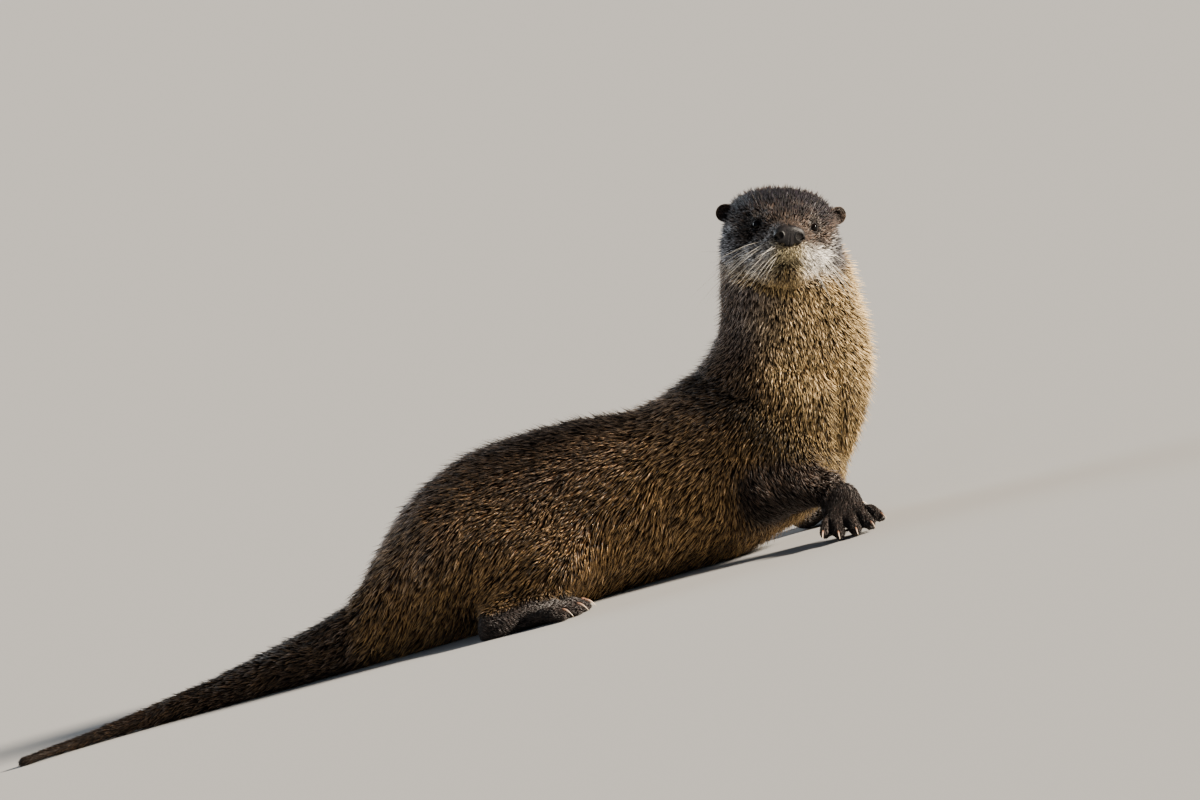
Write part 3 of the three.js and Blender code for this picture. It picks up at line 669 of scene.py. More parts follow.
def build_skin():
    """The finished skin: points, triangles and shares of the regions."""
    points, triangles, foot = body_skin()
    bare = make_object("bare", points, triangles)
    # The feet, then the head, the face once more, and round the eyes a third time.
    refine(bare.data, foot > 0.3)
    for front in (-60, 22):
        p = to_head(read_mesh(bare.data)[0])
        refine(bare.data, (p[:, 0] > front) & (p[:, 2] > -66) & (np.abs(head_field(p)) < 12))
    p = to_head(read_mesh(bare.data)[0])
    refine(bare.data, norm(two_sided(p) - EYE_MIDDLE) < 11)
    points, triangles = read_mesh(bare.data)
    bpy.data.objects.remove(bare)
    average = averager(triangles, len(points))
    shares = region_shares(points, average, ROUNDS["regions"])
    p = to_head(points)
    head = ease(0.35, 0.95, part(shares, "head"))
    head *= ease(-74, -56, p[:, 2]) * (np.abs(head_field(p)) < 14)
    for _ in range(4):
        head = average(head)
    p = mix(p, onto_field(head_field, p), head)
    for _ in range(3):
        p = mix(p, average(p), 0.5 * head)
    normals = vertex_normals(p, triangles)
    sunk = sunk_lines(two_sided(p)[:, 1:], FURROWS, ease(18, 30, p[:, 0]))
    p = p - normals * (sunk * head)[:, None]
    p = mix(p, eyelids(p), (head > 0.5).astype(float))
    points = from_head(p)
    normals = vertex_normals(points, triangles)
    return points - normals * (toe_gaps(points, shares, normals) * MM)[:, None], triangles, shares


# ---- lie of the coat
def lie_field(points, shares, normals, average):
    """Direction along the skin that the fur points in, at each vertex."""
    x, y, height = points.T / MM
    side = np.where(y > 0, 1.0, -1.0)
    p = to_head(points)
    from_eye = two_sided(p) - EYE_MIDDLE
    round_eye = bell(norm(from_eye), 9.5)
    from_eye = unit(from_eye)
    from_eye[:, 1] *= np.where(p[:, 1] > 0, 1.0, -1.0)
    away = unit(points - (middle("nose") - head_direction((10, 0, 0)) * MM))
    down = 0.5 + 0.5 * ease(120, 50, height) + 2.0 * ease(250, 380, x)
    trunk = unit(np.stack([-np.ones_like(x), 0.1 * side, -down], axis=1))
    lean = np.array([0, 0, -0.2])
    foreleg = np.zeros_like(points)
    for mark, name in SIDES:
        lean = lean + unit(middle(f"forefoot_{name}") - middle(f"foreleg_{name}"))
        foreleg[side == mark] = unit(lean)
    head = unit(away - 0.35 * HEAD_AXES[:, 0])
    ways = {
        "head": head + head_direction(from_eye) * (2.6 * round_eye)[:, None],
        "neck": unit(middle("chest") - middle("head") + np.array([0, 0, -0.1])),
        "chest": trunk,
        "belly": trunk,
        "rump": trunk,
        "tail": unit(middle("tail_3") - middle("tail_1")),
        "foreleg": foreleg,
        "hindleg": unit(np.array([-0.75, 0, -0.65])),
        "foot": nearest_claw(points)[1],
    }
    flow = np.stack([np.broadcast_to(ways[name], points.shape) for name in REGIONS])
    lie = np.einsum("nr,rni->ni", shares, flow)
    soft = 1 - 0.8 * round_eye * part(shares, "head")
    for _ in range(ROUNDS["lie"]):
        lie = mix(lie, average(lie), soft)
        lie = unit(lie - normals * dots(lie, normals)[:, None])
    sway = sum(most * lattice_noise(points, size * MM, seed) for most, size, seed in SWAY)
    sway *= 1 - 0.4 * part(shares, "head")
    return unit(lie * np.cos(sway)[:, None] + np.cross(normals, lie) * np.sin(sway)[:, None])


# ---- markings
def markings(points, shares, normals):
    """Colour of the fur's tips at points on the skin, for skin and coat alike."""
    x, y, height = points.T / MM
    wander, fine = lattice_noise(points, 34 * MM, 3), lattice_noise(points, 11 * MM, 4)
    z = height + 16 * wander + 6 * fine
    # Painted light: the flank behind the shoulder is brightened as if sunlit.
    painted_shoulder_light = 1 + 0.6 * bell(x - 212, 45)
    under = ease(0.25, -0.75, normals[:, 2] + 0.18 * wander)
    # Partly painted light: from the middle of the body forwards, the paler flank colour reaches
    # higher.
    body = mix(FUR["back"], FUR["flank"], ease(150, 55, z - 30 * ease(120, 220, x)))
    body = mix(body * painted_shoulder_light[:, None], FUR["belly"], np.maximum(ease(52, 8, z) * 0.75, under * 0.8))
    facing = dots(normals, unit(np.array([0.86, -0.42, -0.28])))
    light = ease(-0.30, 0.95, facing + 0.16 * wander + 0.05 * fine)
    # Partly painted sky sheen: the neck's sides take the nape's pale grey, which lightens the shaded
    # side.
    neck_side = ease(0.1, 0.65, np.abs(normals[:, 1]))
    nape = mix(0.9 * FUR["back"], FUR["nape"], mix(0.25, 0.85, neck_side))
    throat = mix(mix(body, nape, ease(150, 235, z)), FUR["throat"], light)
    front = ease(268, 345, x + 0.35 * (height - 90) + 14 * wander)
    out = mix(body, mix(body, throat, front * light), np.clip(part(shares, "chest"), 0, 1))
    out = mix(out, throat, np.clip(part(shares, "neck") * 1.3, 0, 1))
    flat = np.stack([x, height], axis=1)
    # Painted shadow under the neck's bulge, across the shoulder, on the right side only.
    shoulder_shade = 0.74 * bell(path_distance(flat, PAINTED_SHOULDER_SHADOW), 21)
    # Painted shade in the breast's crease, also on the right side only.
    cleft = 0.42 * bell(path_distance(flat, FOLDS["breast"][0]), 8.5)
    out = out * (1 - np.maximum(shoulder_shade, cleft) * ease(5, -40, y))[:, None]
    out = mix(out, mix(body, FUR["arm"], 0.93), np.clip(part(shares, "foreleg") * 1.4, 0, 1))
    out = mix(out, 0.5 * mix(FUR["back"], FUR["flank"], 0.15), part(shares, "tail"))
    out = mix(out, head_markings(points), np.clip(part(shares, "head") * 1.6, 0, 1))
    out = mix(out, FUR["foot"], np.clip(part(shares, "foot") * 1.5, 0, 1))
    return out * (1 + 0.12 * fine + 0.10 * wander)[:, None]


def head_markings(points):
    """Dark crown, brown face, pale cheeks and lip, a dark chin that is partly painted shade, and
    painted shade in the furrows and on the right cheek.
    """
    p = to_head(points)
    q = two_sided(p)
    wander = lattice_noise(points, 12 * MM, 5) + 0.7 * lattice_noise(points, 5 * MM, 6)
    f, side, up = q.T
    face = ease(9, -8, up - np.interp(side, *MASK["crown"]) + 5 * wander)
    pale = ease(5, -7, up - np.interp(side, *MASK["face"]) + 3.5 * wander)
    cheek = mix(FUR["cheek"], FUR["lip"], np.exp(-((side / 15) ** 4)))
    # The outer cheeks turn bluish grey, partly the fur's own colour and partly painted shade; on the
    # right side, as painted shade, the grey starts nearer the muzzle and grey also lies over the whole
    # cheek.
    cheek = mix(cheek, FUR["jowl"], ease(32, 45, side + 2 * wander + 4 * (p[:, 1] < 0)))
    cheek = mix(cheek, 1.5 * FUR["jowl"], 0.6 * ease(-5, -16, p[:, 1]))
    cheek = mix(cheek, FUR["throat"], ease(-36, -62, up))
    rear = 0.8 * mix(FUR["back"], FUR["nape"], 0.5)
    crown = mix(rear, FUR["crown"], ease(-44, 12, f + 6 * wander))
    out = mix(mix(crown, FUR["face"], face * ease(-6, 22, f)), cheek, pale)
    out = mix(out, rear, ease(18, -24, f) * pale)
    # The dark patch under the mouth is partly wet dark fur and partly painted shade under the upper
    # lips.
    chin = np.exp(-(((side / 10.5) ** 2 + ((up + 47) / 7.0) ** 2) ** 1.5)) * (f > 20)
    out = mix(out, FUR["chin"], 0.8 * chin)
    # Painted shade along the face's furrows: the crease running down from the eye, the mouth's line
    # and the fold under the jaw.
    lines = np.zeros(len(p))
    sides = ease(19, 13, side)
    for name, width, strength, front in (
        ("crease", 1.9, 1, ease(18, 30, f)),
        ("mouth", 1.5, 0.75 * sides, ease(18, 30, f)),
        ("jowl", 3.2, 0.35, ease(10, 24, f)),
    ):
        line = bell(path_distance(q[:, 1:], FURROWS[name][0]), width)
        lines = np.maximum(lines, strength * line * front)
    out = mix(out, FUR["rim"] * 1.6, 0.85 * lines)
    eye = norm(q - EYE_MIDDLE)
    out = mix(out, FUR["cheek"] * 0.5, 0.3 * ease(7.0, 7.8, eye) * ease(10.0, 8.6, eye))
    out = mix(out, FUR["rim"], ease(7.4, 6.7, eye))
    return mix(out, FUR["rim"], ease(1.12, 1.02, norm((q - NOSE["at"]) / NOSE["half"])))


# ---- tufts
# A tuft is a three-sided blade: a ring at the root, one on the way, and the tip.
CUT = [(0, 1, 2), (0, 3, 4), (0, 4, 1), (1, 4, 5), (1, 5, 2), (2, 5, 3), (2, 3, 0)]
TUFT_FACES = np.array(CUT + [(3, 6, 4), (4, 6, 5), (5, 6, 3)])
KNEE = 0.5
# How deep its root lies, its ridge's height for its width, and how far its knee has risen.
TUFT = {"buried": 0.35, "ridge": 0.34, "knee_rise": 0.38}
TUFT_ALONG = np.array([0, 0, 0, KNEE, KNEE, KNEE, 1])
PATCH = 0.003  # how wide a tuft's patch of the bake map is
MOST_TUFTS = 19000  # in one piece


def patch_corners():
    """Bake map places of a tuft's face corners, about its root's place."""
    across = np.array([-0.5, 0.0, 0.5, -0.4, 0.0, 0.4, 0.0])
    corners = np.stack([across[TUFT_FACES], TUFT_ALONG[TUFT_FACES] - 0.5], axis=2)
    corners[0, 1] = (0, -0.4)
    corners[[5, 6, 9], :, 0] *= 0.96
    return corners * PATCH


def seeds(points, triangles, spacing):
    """Evenly strewn places: a triangle and its three weights each."""
    area = norm(crosses(points, triangles)) / 2
    wanted = np.cumsum(area / (spacing[triangles].mean(axis=1) * MM) ** 2)
    marks = np.arange(int(wanted[-1])) + rng.random(int(wanted[-1]))
    index = np.minimum(np.searchsorted(wanted, marks), len(triangles) - 1)
    u, v = rng.random((2, len(index)))
    over = u + v > 1
    u, v = np.where(over, 1 - u, u), np.where(over, 1 - v, v)
    return index, np.stack([1 - u - v, u, v], axis=1)


def spread(values, triangles, index, weights):
    """Values at seeds from values at vertices."""
    return np.einsum("nk,nk...->n...", weights, values[triangles[index]])


def tuft_points(roots, normals, lie, tree, surface_normals, size):
    """Seven points for each tuft, which hugs the skin and lifts towards its tip."""
    length, width, rise = (size[k][:, None] * MM for k in ("length", "width", "rise"))
    knee, index = nearest(tree, roots + lie * length * KNEE)
    knee_normal = surface_normals[index]
    knee = knee + knee_normal * rise * TUFT["knee_rise"]
    tip, index = nearest(tree, roots + lie * length)
    tip = tip + surface_normals[index] * rise
    base = roots - normals * TUFT["buried"] * MM
    side = unit(np.cross(normals, knee - base))
    ridge = width * TUFT["ridge"]
    first = [base + side * width / 2, base + normals * ridge, base - side * width / 2]
    second = [knee + side * width * 0.4, knee + knee_normal * ridge * 0.9, knee - side * width * 0.4]
    out = np.stack([*first, *second, tip], axis=1)
    out[:, :, 2] = np.maximum(out[:, :, 2], LOWEST["tuft"] * MM)
    return out


def unwrapped(points, triangles):
    """Map of a surface piece unwrapped by its own shape: three corners for each triangle."""
    piece = make_object("unwrap", points, triangles)
    bpy.context.view_layer.objects.active = piece
    piece.select_set(True)
    piece.data.uv_layers.new(name="map")
    bpy.ops.object.mode_set(mode="EDIT")
    bpy.ops.mesh.select_all(action="SELECT")
    bpy.ops.uv.smart_project(angle_limit=math.radians(66), island_margin=0.004)
    bpy.ops.object.mode_set(mode="OBJECT")
    uv = np.empty(len(triangles) * 6)
    piece.data.uv_layers["map"].uv.foreach_get("vector", uv)
    bpy.data.objects.remove(piece)
    return uv.reshape(-1, 3, 2)


def weights_in(points, triangles, index, places):
    """Barycentric weights of places in numbered triangles."""
    a, b, c = (points[triangles[index, i]] for i in range(3))
    v0, v1, v2 = b - a, c - a, places - a
    d00, d01, d11 = dots(v0, v0), dots(v0, v1), dots(v1, v1)
    d20, d21 = dots(v2, v0), dots(v2, v1)
    below = np.maximum(d00 * d11 - d01 * d01, 1e-20)
    v, w = (d11 * d20 - d01 * d21) / below, (d00 * d21 - d01 * d20) / below
    return np.clip(np.stack([1 - v - w, v, w], axis=1), 0, 1)


def tuft_piece(name, shapes, roots, colours, plan, material, slot):
    """One joined mesh of tufts, with its bake map from an unwrap of the plan."""
    count = len(shapes)
    faces = (TUFT_FACES[None] + 7 * np.arange(count)[:, None, None]).reshape(-1, 3)
    plan_points, plan_triangles, plan_tree = plan
    places, index = nearest(plan_tree, roots)
    used, flat = np.unique(index, return_inverse=True)
    corners = unwrapped(plan_points, plan_triangles[used])
    weights = weights_in(plan_points, plan_triangles, index, places)
    at = np.einsum("nk,nki->ni", weights, corners[flat.ravel()])
    uv = np.clip(at[:, None, None, :] + patch_corners()[None], 0, 1).reshape(-1, 2)
    piece = make_object(
        name, shapes.reshape(-1, 3), faces, uv, np.repeat(colours, 7, axis=0),
        along=np.tile(TUFT_ALONG, count), vary=np.repeat(rng.random(count), 7),
    )
    dress(piece, material, slot)


# ---- coat
def face_scale(p):
    """How much shorter and closer the fur is near the eyes and the nose."""
    q = two_sided(p)
    scale = mix(0.5, 1.0, ease(12, 42, norm(q - NOSE["at"])))
    return scale * mix(0.45, 1.0, ease(6, 15, norm(q - EYE_MIDDLE)))


def bare_places(points):
    """Where no fur grows: the eyes' openings and the nose's pad."""
    q = two_sided(to_head(points))
    beyond, v = lid_opening(q, 1)
    return ((norm(v) < 9) & (beyond < 3)) | (norm((q - NOSE["at"]) / NOSE["half"]) < 1.0)


def face_nap(points, shares):
    """Where the short flat fur of the face and feet shows as nap on the skin itself."""
    head = part(shares, "head") * (1 - ease(0.5, 0.95, face_scale(to_head(points))))
    return np.clip(head + part(shares, "foot"), 0, 1)


def painted_glints(colours, roots, shares):
    """Painted glints: here and there, mostly in wet patches, a tuft's colour is paled towards grey for
    light glinting off wet hair; the wet patches are a little darker.
    """
    wet = ease(-0.35, 0.65, lattice_noise(roots * np.array([0.6, 1, 1]), 30 * MM, 7))
    chosen = rng.random(len(colours)) < coat_value(shares, "glint_share") * mix(0.35, 2.1, wet)
    strength = 0.35 + 0.5 * rng.random(len(colours))
    pale = colours * 1.5 + np.array([0.14, 0.138, 0.142])
    return mix(colours * mix(1.06, 0.9, wet)[:, None], pale, chosen * strength)


def grow_coat(points, triangles, shares, normals, material):
    average = averager(triangles, len(points))
    lie = lie_field(points, shares, normals, average)
    p = to_head(points)
    head = part(shares, "head")
    scale = mix(1.0, face_scale(p), np.clip(head * 1.5, 0, 1))
    blended = shares
    for _ in range(ROUNDS["tuft_sizes"]):
        blended = average(blended)
    size = {k: coat_value(blended, k) for k in COLUMNS}
    # The crown's, the breast's and the nape's fur stand up more than the rest.
    crest = head * ease(2, 20, p[:, 2]) * ease(60, 30, p[:, 0])
    front = ease(0.3, 0.9, normals[:, 0]) * ease(60, 150, points[:, 2] / MM) * (1 - head)
    nape = part(shares, "neck") * ease(0.2, -0.5, normals[:, 0])
    thin = tail_thinning(points)
    spacing = size["spacing"] * mix(1.0, scale, 0.55)
    spacing *= np.where((points[:, 2] < 1.5 * MM) & (normals[:, 2] < -0.8), 1.7, 1)
    index, weights = seeds(points, triangles, spacing)
    keep = ~bare_places(spread(points, triangles, index, weights))
    index, weights = index[keep], weights[keep]

    def at(values):
        return spread(values, triangles, index, weights)

    roots, root_shares = at(points), at(shares)
    root_normals, root_lie = unit(at(normals)), unit(at(lie))
    jitter = rng.normal(0, 0.12, len(roots))[:, None]
    root_lie = unit(root_lie + np.cross(root_normals, root_lie) * jitter)
    chance = rng.random((4, len(roots)))
    stand = mix(1.0, 1.7, (chance[3] > 0.75) * (part(root_shares, "foot") < 0.3))
    rise = size["depth"] * scale * thin * (1 + 0.15 * crest + 0.7 * front + 0.25 * nape)
    sizes = {
        "length": at(size["length"] * scale * thin * (1 + 0.1 * crest)) * (0.72 + 0.5 * chance[0]),
        "width": at(size["width"] * mix(1.0, scale, 0.6) * thin) * (0.75 + 0.5 * chance[1]),
        "rise": at(rise) * (0.5 + 0.9 * chance[2]) * stand,
    }
    surface = tree_of(points, triangles), unit(crosses(points, triangles))
    shapes = tuft_points(roots, root_normals, root_lie, *surface, sizes)
    clear = ~(bare_places(shapes[:, 6]) | bare_places(shapes[:, 4]))
    rows = (shapes, roots, root_shares, root_normals)
    shapes, roots, root_shares, root_normals = (v[clear] for v in rows)
    colours = markings(roots + rng.normal(0, 1.8 * MM, roots.shape), root_shares, root_normals)
    # Some tufts get a painted glint: their colour is paled towards grey for light off wet hair.
    colours = painted_glints(colours, roots, root_shares)
    plan = read_mesh(modified(points, triangles, "DECIMATE", ratio=0.09))
    plan = (*plan, tree_of(*plan))
    region = root_shares.argmax(axis=1)
    for number, name in enumerate(REGIONS):
        mine = np.flatnonzero(region == number)
        mine = mine[np.argsort(roots[mine, 0], kind="stable")]
        parts = np.array_split(mine, math.ceil(len(mine) / MOST_TUFTS))
        for count, some in enumerate(parts, 1):
            rows = (shapes[some], roots[some], colours[some])
            tuft_piece(f"coat_{name}_{count}", *rows, plan, material, SLOTS.get(name, "coat"))


# ---- materials
class Nodes:
    """Short names for building a material."""

    def __init__(self, name):
        self.material = bpy.data.materials.new(name)
        self.material.use_nodes = True
        self.tree = self.material.node_tree
        self.shader = self.tree.nodes["Principled BSDF"]

    def feed(self, socket, value):
        if isinstance(value, bpy.types.NodeSocket):
            self.tree.links.new(value, socket)
        else:
            socket.default_value = value

    def add(self, kind, settings=None, **inputs):
        node = self.tree.nodes.new(kind)
        for key, value in (settings or {}).items():
            setattr(node, key, value)
        for key, value in inputs.items():
            self.feed(node.inputs[key], value)
        return node

    def attribute(self, name, output="Fac"):
        return self.add("ShaderNodeAttribute", {"attribute_name": name}).outputs[output]

    def texture(self, kind, **inputs):
        place = self.add("ShaderNodeTexCoord").outputs["Object"]
        return self.add(kind, Vector=place, **inputs)

    def noise(self, scale, detail=3.0):
        return self.texture("ShaderNodeTexNoise", Scale=scale, Detail=detail).outputs[0]

    def ramp(self, value, *stops):
        node = self.add("ShaderNodeValToRGB", Fac=value)
        while len(node.color_ramp.elements) < len(stops):
            node.color_ramp.elements.new(0.5)
        for element, (place, colour) in zip(node.color_ramp.elements, stops):
            element.position = place
            grey = (colour,) * 3 if np.isscalar(colour) else tuple(colour)
            element.color = (*grey, 1)
        return node.outputs[0]

    def blend(self, share, a, b, kind="MIX"):
        node = self.add("ShaderNodeMix", {"data_type": "RGBA", "blend_type": kind})
        for socket, value in ((0, share), (6, a), (7, b)):
            self.feed(node.inputs[socket], (*value, 1) if isinstance(value, tuple) else value)
        return node.outputs[2]

    def times(self, a, b):
        return self.blend(1.0, a, b, "MULTIPLY")

    def bump(self, height, strength, distance):
        node = self.add("ShaderNodeBump", Height=height, Strength=strength, Distance=distance)
        self.set(Normal=node.outputs[0])

    def set(self, **values):
        for key, value in values.items():
            self.feed(self.shader.inputs[key.replace("_", " ")], value)


def coat_material():
    """Damp fur: dark at the root, partly the hair's own colour and partly painted shade deep in the
    coat; paler and glinting at the tip.
    """
    made = Nodes("coat")
    fur, along, vary = made.attribute("fur", "Color"), made.attribute("along"), made.attribute("vary")
    blue = made.add("ShaderNodeSeparateColor", Color=fur).outputs[2]
    # Roots far darker than the tips: partly painted shade between the tufts, less so for pale fur.
    dark = made.times(fur, (0.045, 0.036, 0.034))
    dark = made.blend(made.ramp(blue, (0.3, 0.0), (0.72, 0.5)), dark, fur)
    colour = made.blend(made.ramp(along, (0.47, 0.0), (1.0, 1.0)), dark, fur)
    colour = made.times(colour, made.ramp(vary, (0.0, 0.15), (0.5, 0.85), (1.0, 2.3)))
    colour = made.times(colour, made.ramp(made.noise(1400), (0.3, 0.72), (0.7, 1.25)))
    made.set(Base_Color=colour, Roughness=made.ramp(vary, (0.55, 0.48), (1.0, 0.27)))
    made.set(Specular_IOR_Level=made.ramp(along, (0.3, 0.06), (0.85, 0.42)))
    made.bump(made.noise(1500), 0.35, 0.0004)
    return made.material


def skin_material():
    """Under the coat: the same markings, darker, partly as painted shade deep in the coat, with a nap
    of fine short hair.
    """
    made = Nodes("skin")
    fur = made.attribute("fur", "Color")
    nap = made.noise(900, 4)
    # Where no nap shows, the skin's colour is darkened: partly painted shade under the tufts.
    colour = made.blend(made.attribute("under"), made.times(fur, (0.05, 0.04, 0.036)), fur)
    colour = made.times(colour, made.ramp(nap, (0.3, 0.55), (0.7, 1.35)))
    made.set(Base_Color=colour, Roughness=0.6, Specular_IOR_Level=0.2)
    made.bump(nap, 0.6, 0.0006)
    return made.material


# ---- eyes, nose and ears
def ball_grid(around, rows):
    """Directions over a sphere about +X, with triangles, and the angle from +X in degrees."""
    a = np.linspace(0, math.pi, rows + 1)[1:-1, None]
    t = np.linspace(0, 2 * math.pi, around, endpoint=False)[None]
    rings = np.stack([np.cos(a) + 0 * t, np.sin(a) * np.cos(t), np.sin(a) * np.sin(t)], axis=2)
    points, faces = capped(rings, (1, 0, 0), (-1, 0, 0))
    return points, faces[:, ::-1], np.degrees(np.arccos(np.clip(points[:, 0], -1, 1)))


def eye_material():
    """Wet, near black eye: pupil, dark brown iris and a dark rim round them."""
    made = Nodes("eye")
    angle = made.attribute("angle")
    iris = made.times((0.0025, 0.0013, 0.0009), made.ramp(made.noise(2200), (0.3, 0.6), (0.7, 1.3)))
    inner = made.blend(made.ramp(angle, (0.22, 0.0), (0.25, 1.0)), (0.001, 0.001, 0.001), iris)
    colour = made.blend(made.ramp(angle, (0.39, 0.0), (0.43, 1.0)), inner, (0.0012, 0.001, 0.001))
    made.set(Base_Color=colour, Roughness=0.05, Specular_IOR_Level=0.17)
    return made.material


def add_eyes():
    material = eye_material()
    for side, name in SIDES:
        rays, faces, angle = ball_grid(48, 32)
        forward = gaze(side)
        across = unit(np.cross([0, 0, 1.0], forward))
        turn = np.stack([forward, across, np.cross(forward, across)], axis=1)
        reach = EYE["radius"] + 0.45 * ease(40, 18, angle)
        local = EYE_MIDDLE * (1, side, 1) + (rays * reach[:, None]) @ turn.T
        eye = make_object(f"eyeball_{name}", from_head(local), faces, angle=angle / 90)
        dress(eye, material, "eye", f"eye_{name}")


def nostril_field(p):
    """Distance in mm to the inside of the nostrils and of the slits behind them."""
    hole, slit = (oval(two_sided(p), hollow["at"], hollow["half"]) for hollow in (NOSTRIL, NOSE_SLIT))
    return smooth_min(hole, slit, 1.6)


def nose_field(p):
    """Distance in mm to the nose's pad, with its nostrils let in."""
    q = two_sided(p)
    f, _, u = NOSE["at"]
    depth, wide, high = NOSE["half"]
    value = oval(q, (f - 0.5, 0, u - 0.3), (depth - 0.2, wide - 1.2, high - 0.5))
    value = smooth_min(value, oval(q, (f - 0.6, wide - 5.4, u - 1.4), (depth - 0.2, 6.2, 6.8)), 2.4)
    value = smooth_min(value, oval(q, (f - 0.8, 0, u - 6.8), (depth - 1.2, 4.8, 4.4)), 2.0)
    value = smooth_max(value, q[:, 0] - (f + depth - 1.2 - 0.012 * q[:, 1] ** 2), 3.0)
    value = smooth_max(value, q[:, 2] - (u + high - 1.6 + 0.14 * np.minimum(q[:, 1], 6)), 2.2)
    hole = nostril_field(p)
    value -= 0.6 * bell(hole - 0.9, 0.8)
    groove = bell(q[:, 1], 0.55) * ease(u + 2, u - 6, q[:, 2])
    return smooth_max(value, -hole, 0.9) + 0.55 * groove


def nose_material():
    """Damp leathery pad: fine grain of flat cells, near black, and black inside the nostrils as
    painted shade.
    """
    made = Nodes("nose")
    inside = made.attribute("inside")
    cells = made.texture("ShaderNodeTexVoronoi", Scale=1250.0).outputs["Distance"]
    patchy = made.ramp(made.noise(260, 3), (0.5, 0.0), (0.8, 0.5))
    grain = made.ramp(cells, (0.1, 0.0), (0.75, 1.0))
    colour = made.blend(grain, (0.013, 0.011, 0.013), (0.004, 0.004, 0.004))
    colour = made.blend(patchy, colour, (0.034, 0.027, 0.028))
    # Painted shade: black deep inside the nostrils.
    colour = made.blend(inside, colour, (0.002, 0.001, 0.001))
    made.set(Base_Color=colour, Roughness=made.ramp(inside, (0.0, 0.44), (1.0, 0.95)))
    made.set(Specular_IOR_Level=0.32)
    made.bump(made.ramp(cells, (0.0, 1.0), (0.8, 0.0)), 0.5, 0.0003)
    return made.material


def add_nose():
    rays, faces, _ = ball_grid(180, 110)
    local = onto_field(nose_field, NOSE["at"] + rays * NOSE["half"] * 0.97, rounds=9, most=1.5)
    inside = ease(0.9, 0.1, nostril_field(local))
    nose = make_object("nose_pad", from_head(local), faces, inside=inside)
    dress(nose, nose_material(), "nose", "nose")


def ear_middle(side):
    return np.array(EAR["at"]) * (1, side, 1) + (0, 0, EAR["pricked"] * side)


def ear_shape(side):
    """Cupped ear in the head's frame: points, faces, and 1 on its inner face, 0 on its back."""
    around, rows = 56, 26
    turn = np.linspace(0, 2 * math.pi, around, endpoint=False)[None]
    # Down the cup from its middle to the rim, then over the rim and down the back.
    step = np.linspace(0, 1, rows + 1)[:, None]
    s, front, back = np.sin(step * math.pi), step < 0.5, ease(0.42, 0.58, step)
    depth = mix(1.6 - 4.4 * (1 - s * s), 0.2 - 5.2 * (1 - s * s), back)
    fold = 0.9 * bell(s - 0.62, 0.12) * (np.sin(turn) > -0.3) * front
    reach = s * (1 + 0.06 * np.cos(2 * turn - 0.5) - 0.05 * np.sin(turn))
    reach = reach * np.where(front, 1, 1 - 0.02 * s)
    wide, high = EAR["wide"] * reach * np.cos(turn), EAR["high"] * reach * np.sin(turn)
    points = np.stack([depth + fold, wide, high], axis=2).reshape(-1, 3)
    out = math.radians(EAR["outwards"])
    opens = np.array([math.cos(out), side * math.sin(out), 0])
    axes = np.stack([opens, np.cross([0, 0, 1.0], opens), [0, 0, 1.0]], axis=1)
    points = points @ axes.T + ear_middle(side)
    first, faces = welded(points, np.array(band_faces(rows + 1, around)), 1e-4)
    faces = faces[(faces != np.roll(faces, 1, axis=1)).all(axis=1)]
    return points[first], faces, np.repeat(1 - back, around)[first]


def add_ears(skin_cloth, coat_cloth):
    for side, name in SIDES:
        local, faces, inner = ear_shape(side)
        points, centre = from_head(local), from_head(ear_middle(side))
        normals = vertex_normals(points, faces)
        if dots(normals, points - centre).mean() < 0:
            faces, normals = faces[:, ::-1], -normals
        # The ear's inner rim is paler, partly its own colour and partly a painted highlight where
        # light catches it.
        rim = ease(5.0, 8.5, norm(local - ear_middle(side)))
        fur = mix(mix(FUR["nape"], FUR["ear_skin"], inner), FUR["ear_rim"], rim * inner)
        shell = make_object(f"ear_shell_{name}", points, faces, fur=fur, under=inner)
        dress(shell, skin_cloth, "coat", f"ear_{name}")
        index, weights = seeds(points, faces, mix(0.7, 1.0, inner * (1 - rim)))
        rows = (points, rim, inner, normals)
        roots, outward, inside, root_normals = (spread(v, faces, index, weights) for v in rows)
        root_normals = unit(root_normals)
        low = centre - head_direction((0, 4.0 * side, 4.0)) * MM
        way = unit(unit(roots - low) + 0.3 * head_direction((-0.25, 0.75 * side, 0.8)))
        lie = unit(way - root_normals * dots(way, root_normals)[:, None])
        chance = rng.random((3, len(roots)))
        sizes = {
            "length": mix(4.2, 3.0, outward) * (0.7 + 0.6 * chance[0]),
            "width": 0.6 * (0.7 + 0.6 * chance[1]),
            "rise": mix(0.7, 0.5, inside) * (0.5 + chance[2]),
        }
        shell_tree = tree_of(points, faces)
        surface = shell_tree, unit(crosses(points, faces))
        shapes = tuft_points(roots, root_normals, lie, *surface, sizes)
        tone = mix(0.7 * FUR["nape"], FUR["ear_hair"], inside)
        # The hair along the rim is paler too, partly a painted highlight.
        tone = mix(tone, FUR["ear_fringe"], outward * inside)
        plan = (points, faces, shell_tree)
        tuft_piece(f"coat_ear_{name}", shapes, roots, tone, plan, coat_cloth, "coat")


# ---- claws and whiskers
def bent_tube(path, radii, sides):
    """Closed tube along a path, with pairs of radii: points, faces, and shares of its length."""
    along = unit(np.gradient(path, axis=0))
    guess = np.array([0.0, 0.0, 1.0]) if abs(along[0, 2]) < 0.9 else np.array([1.0, 0.0, 0.0])
    across = unit(np.cross(along, guess))
    over = np.cross(across, along)
    turn = np.linspace(0, 2 * math.pi, sides, endpoint=False)
    ring = across[:, None] * (radii[:, 0, None] * np.cos(turn))[..., None]
    ring = ring + over[:, None] * (radii[:, 1, None] * np.sin(turn))[..., None]
    share = np.repeat(np.linspace(0, 1, len(path)), sides)
    return *capped(path[:, None] + ring, path[0], path[-1]), np.concatenate([share, [0, 1]])


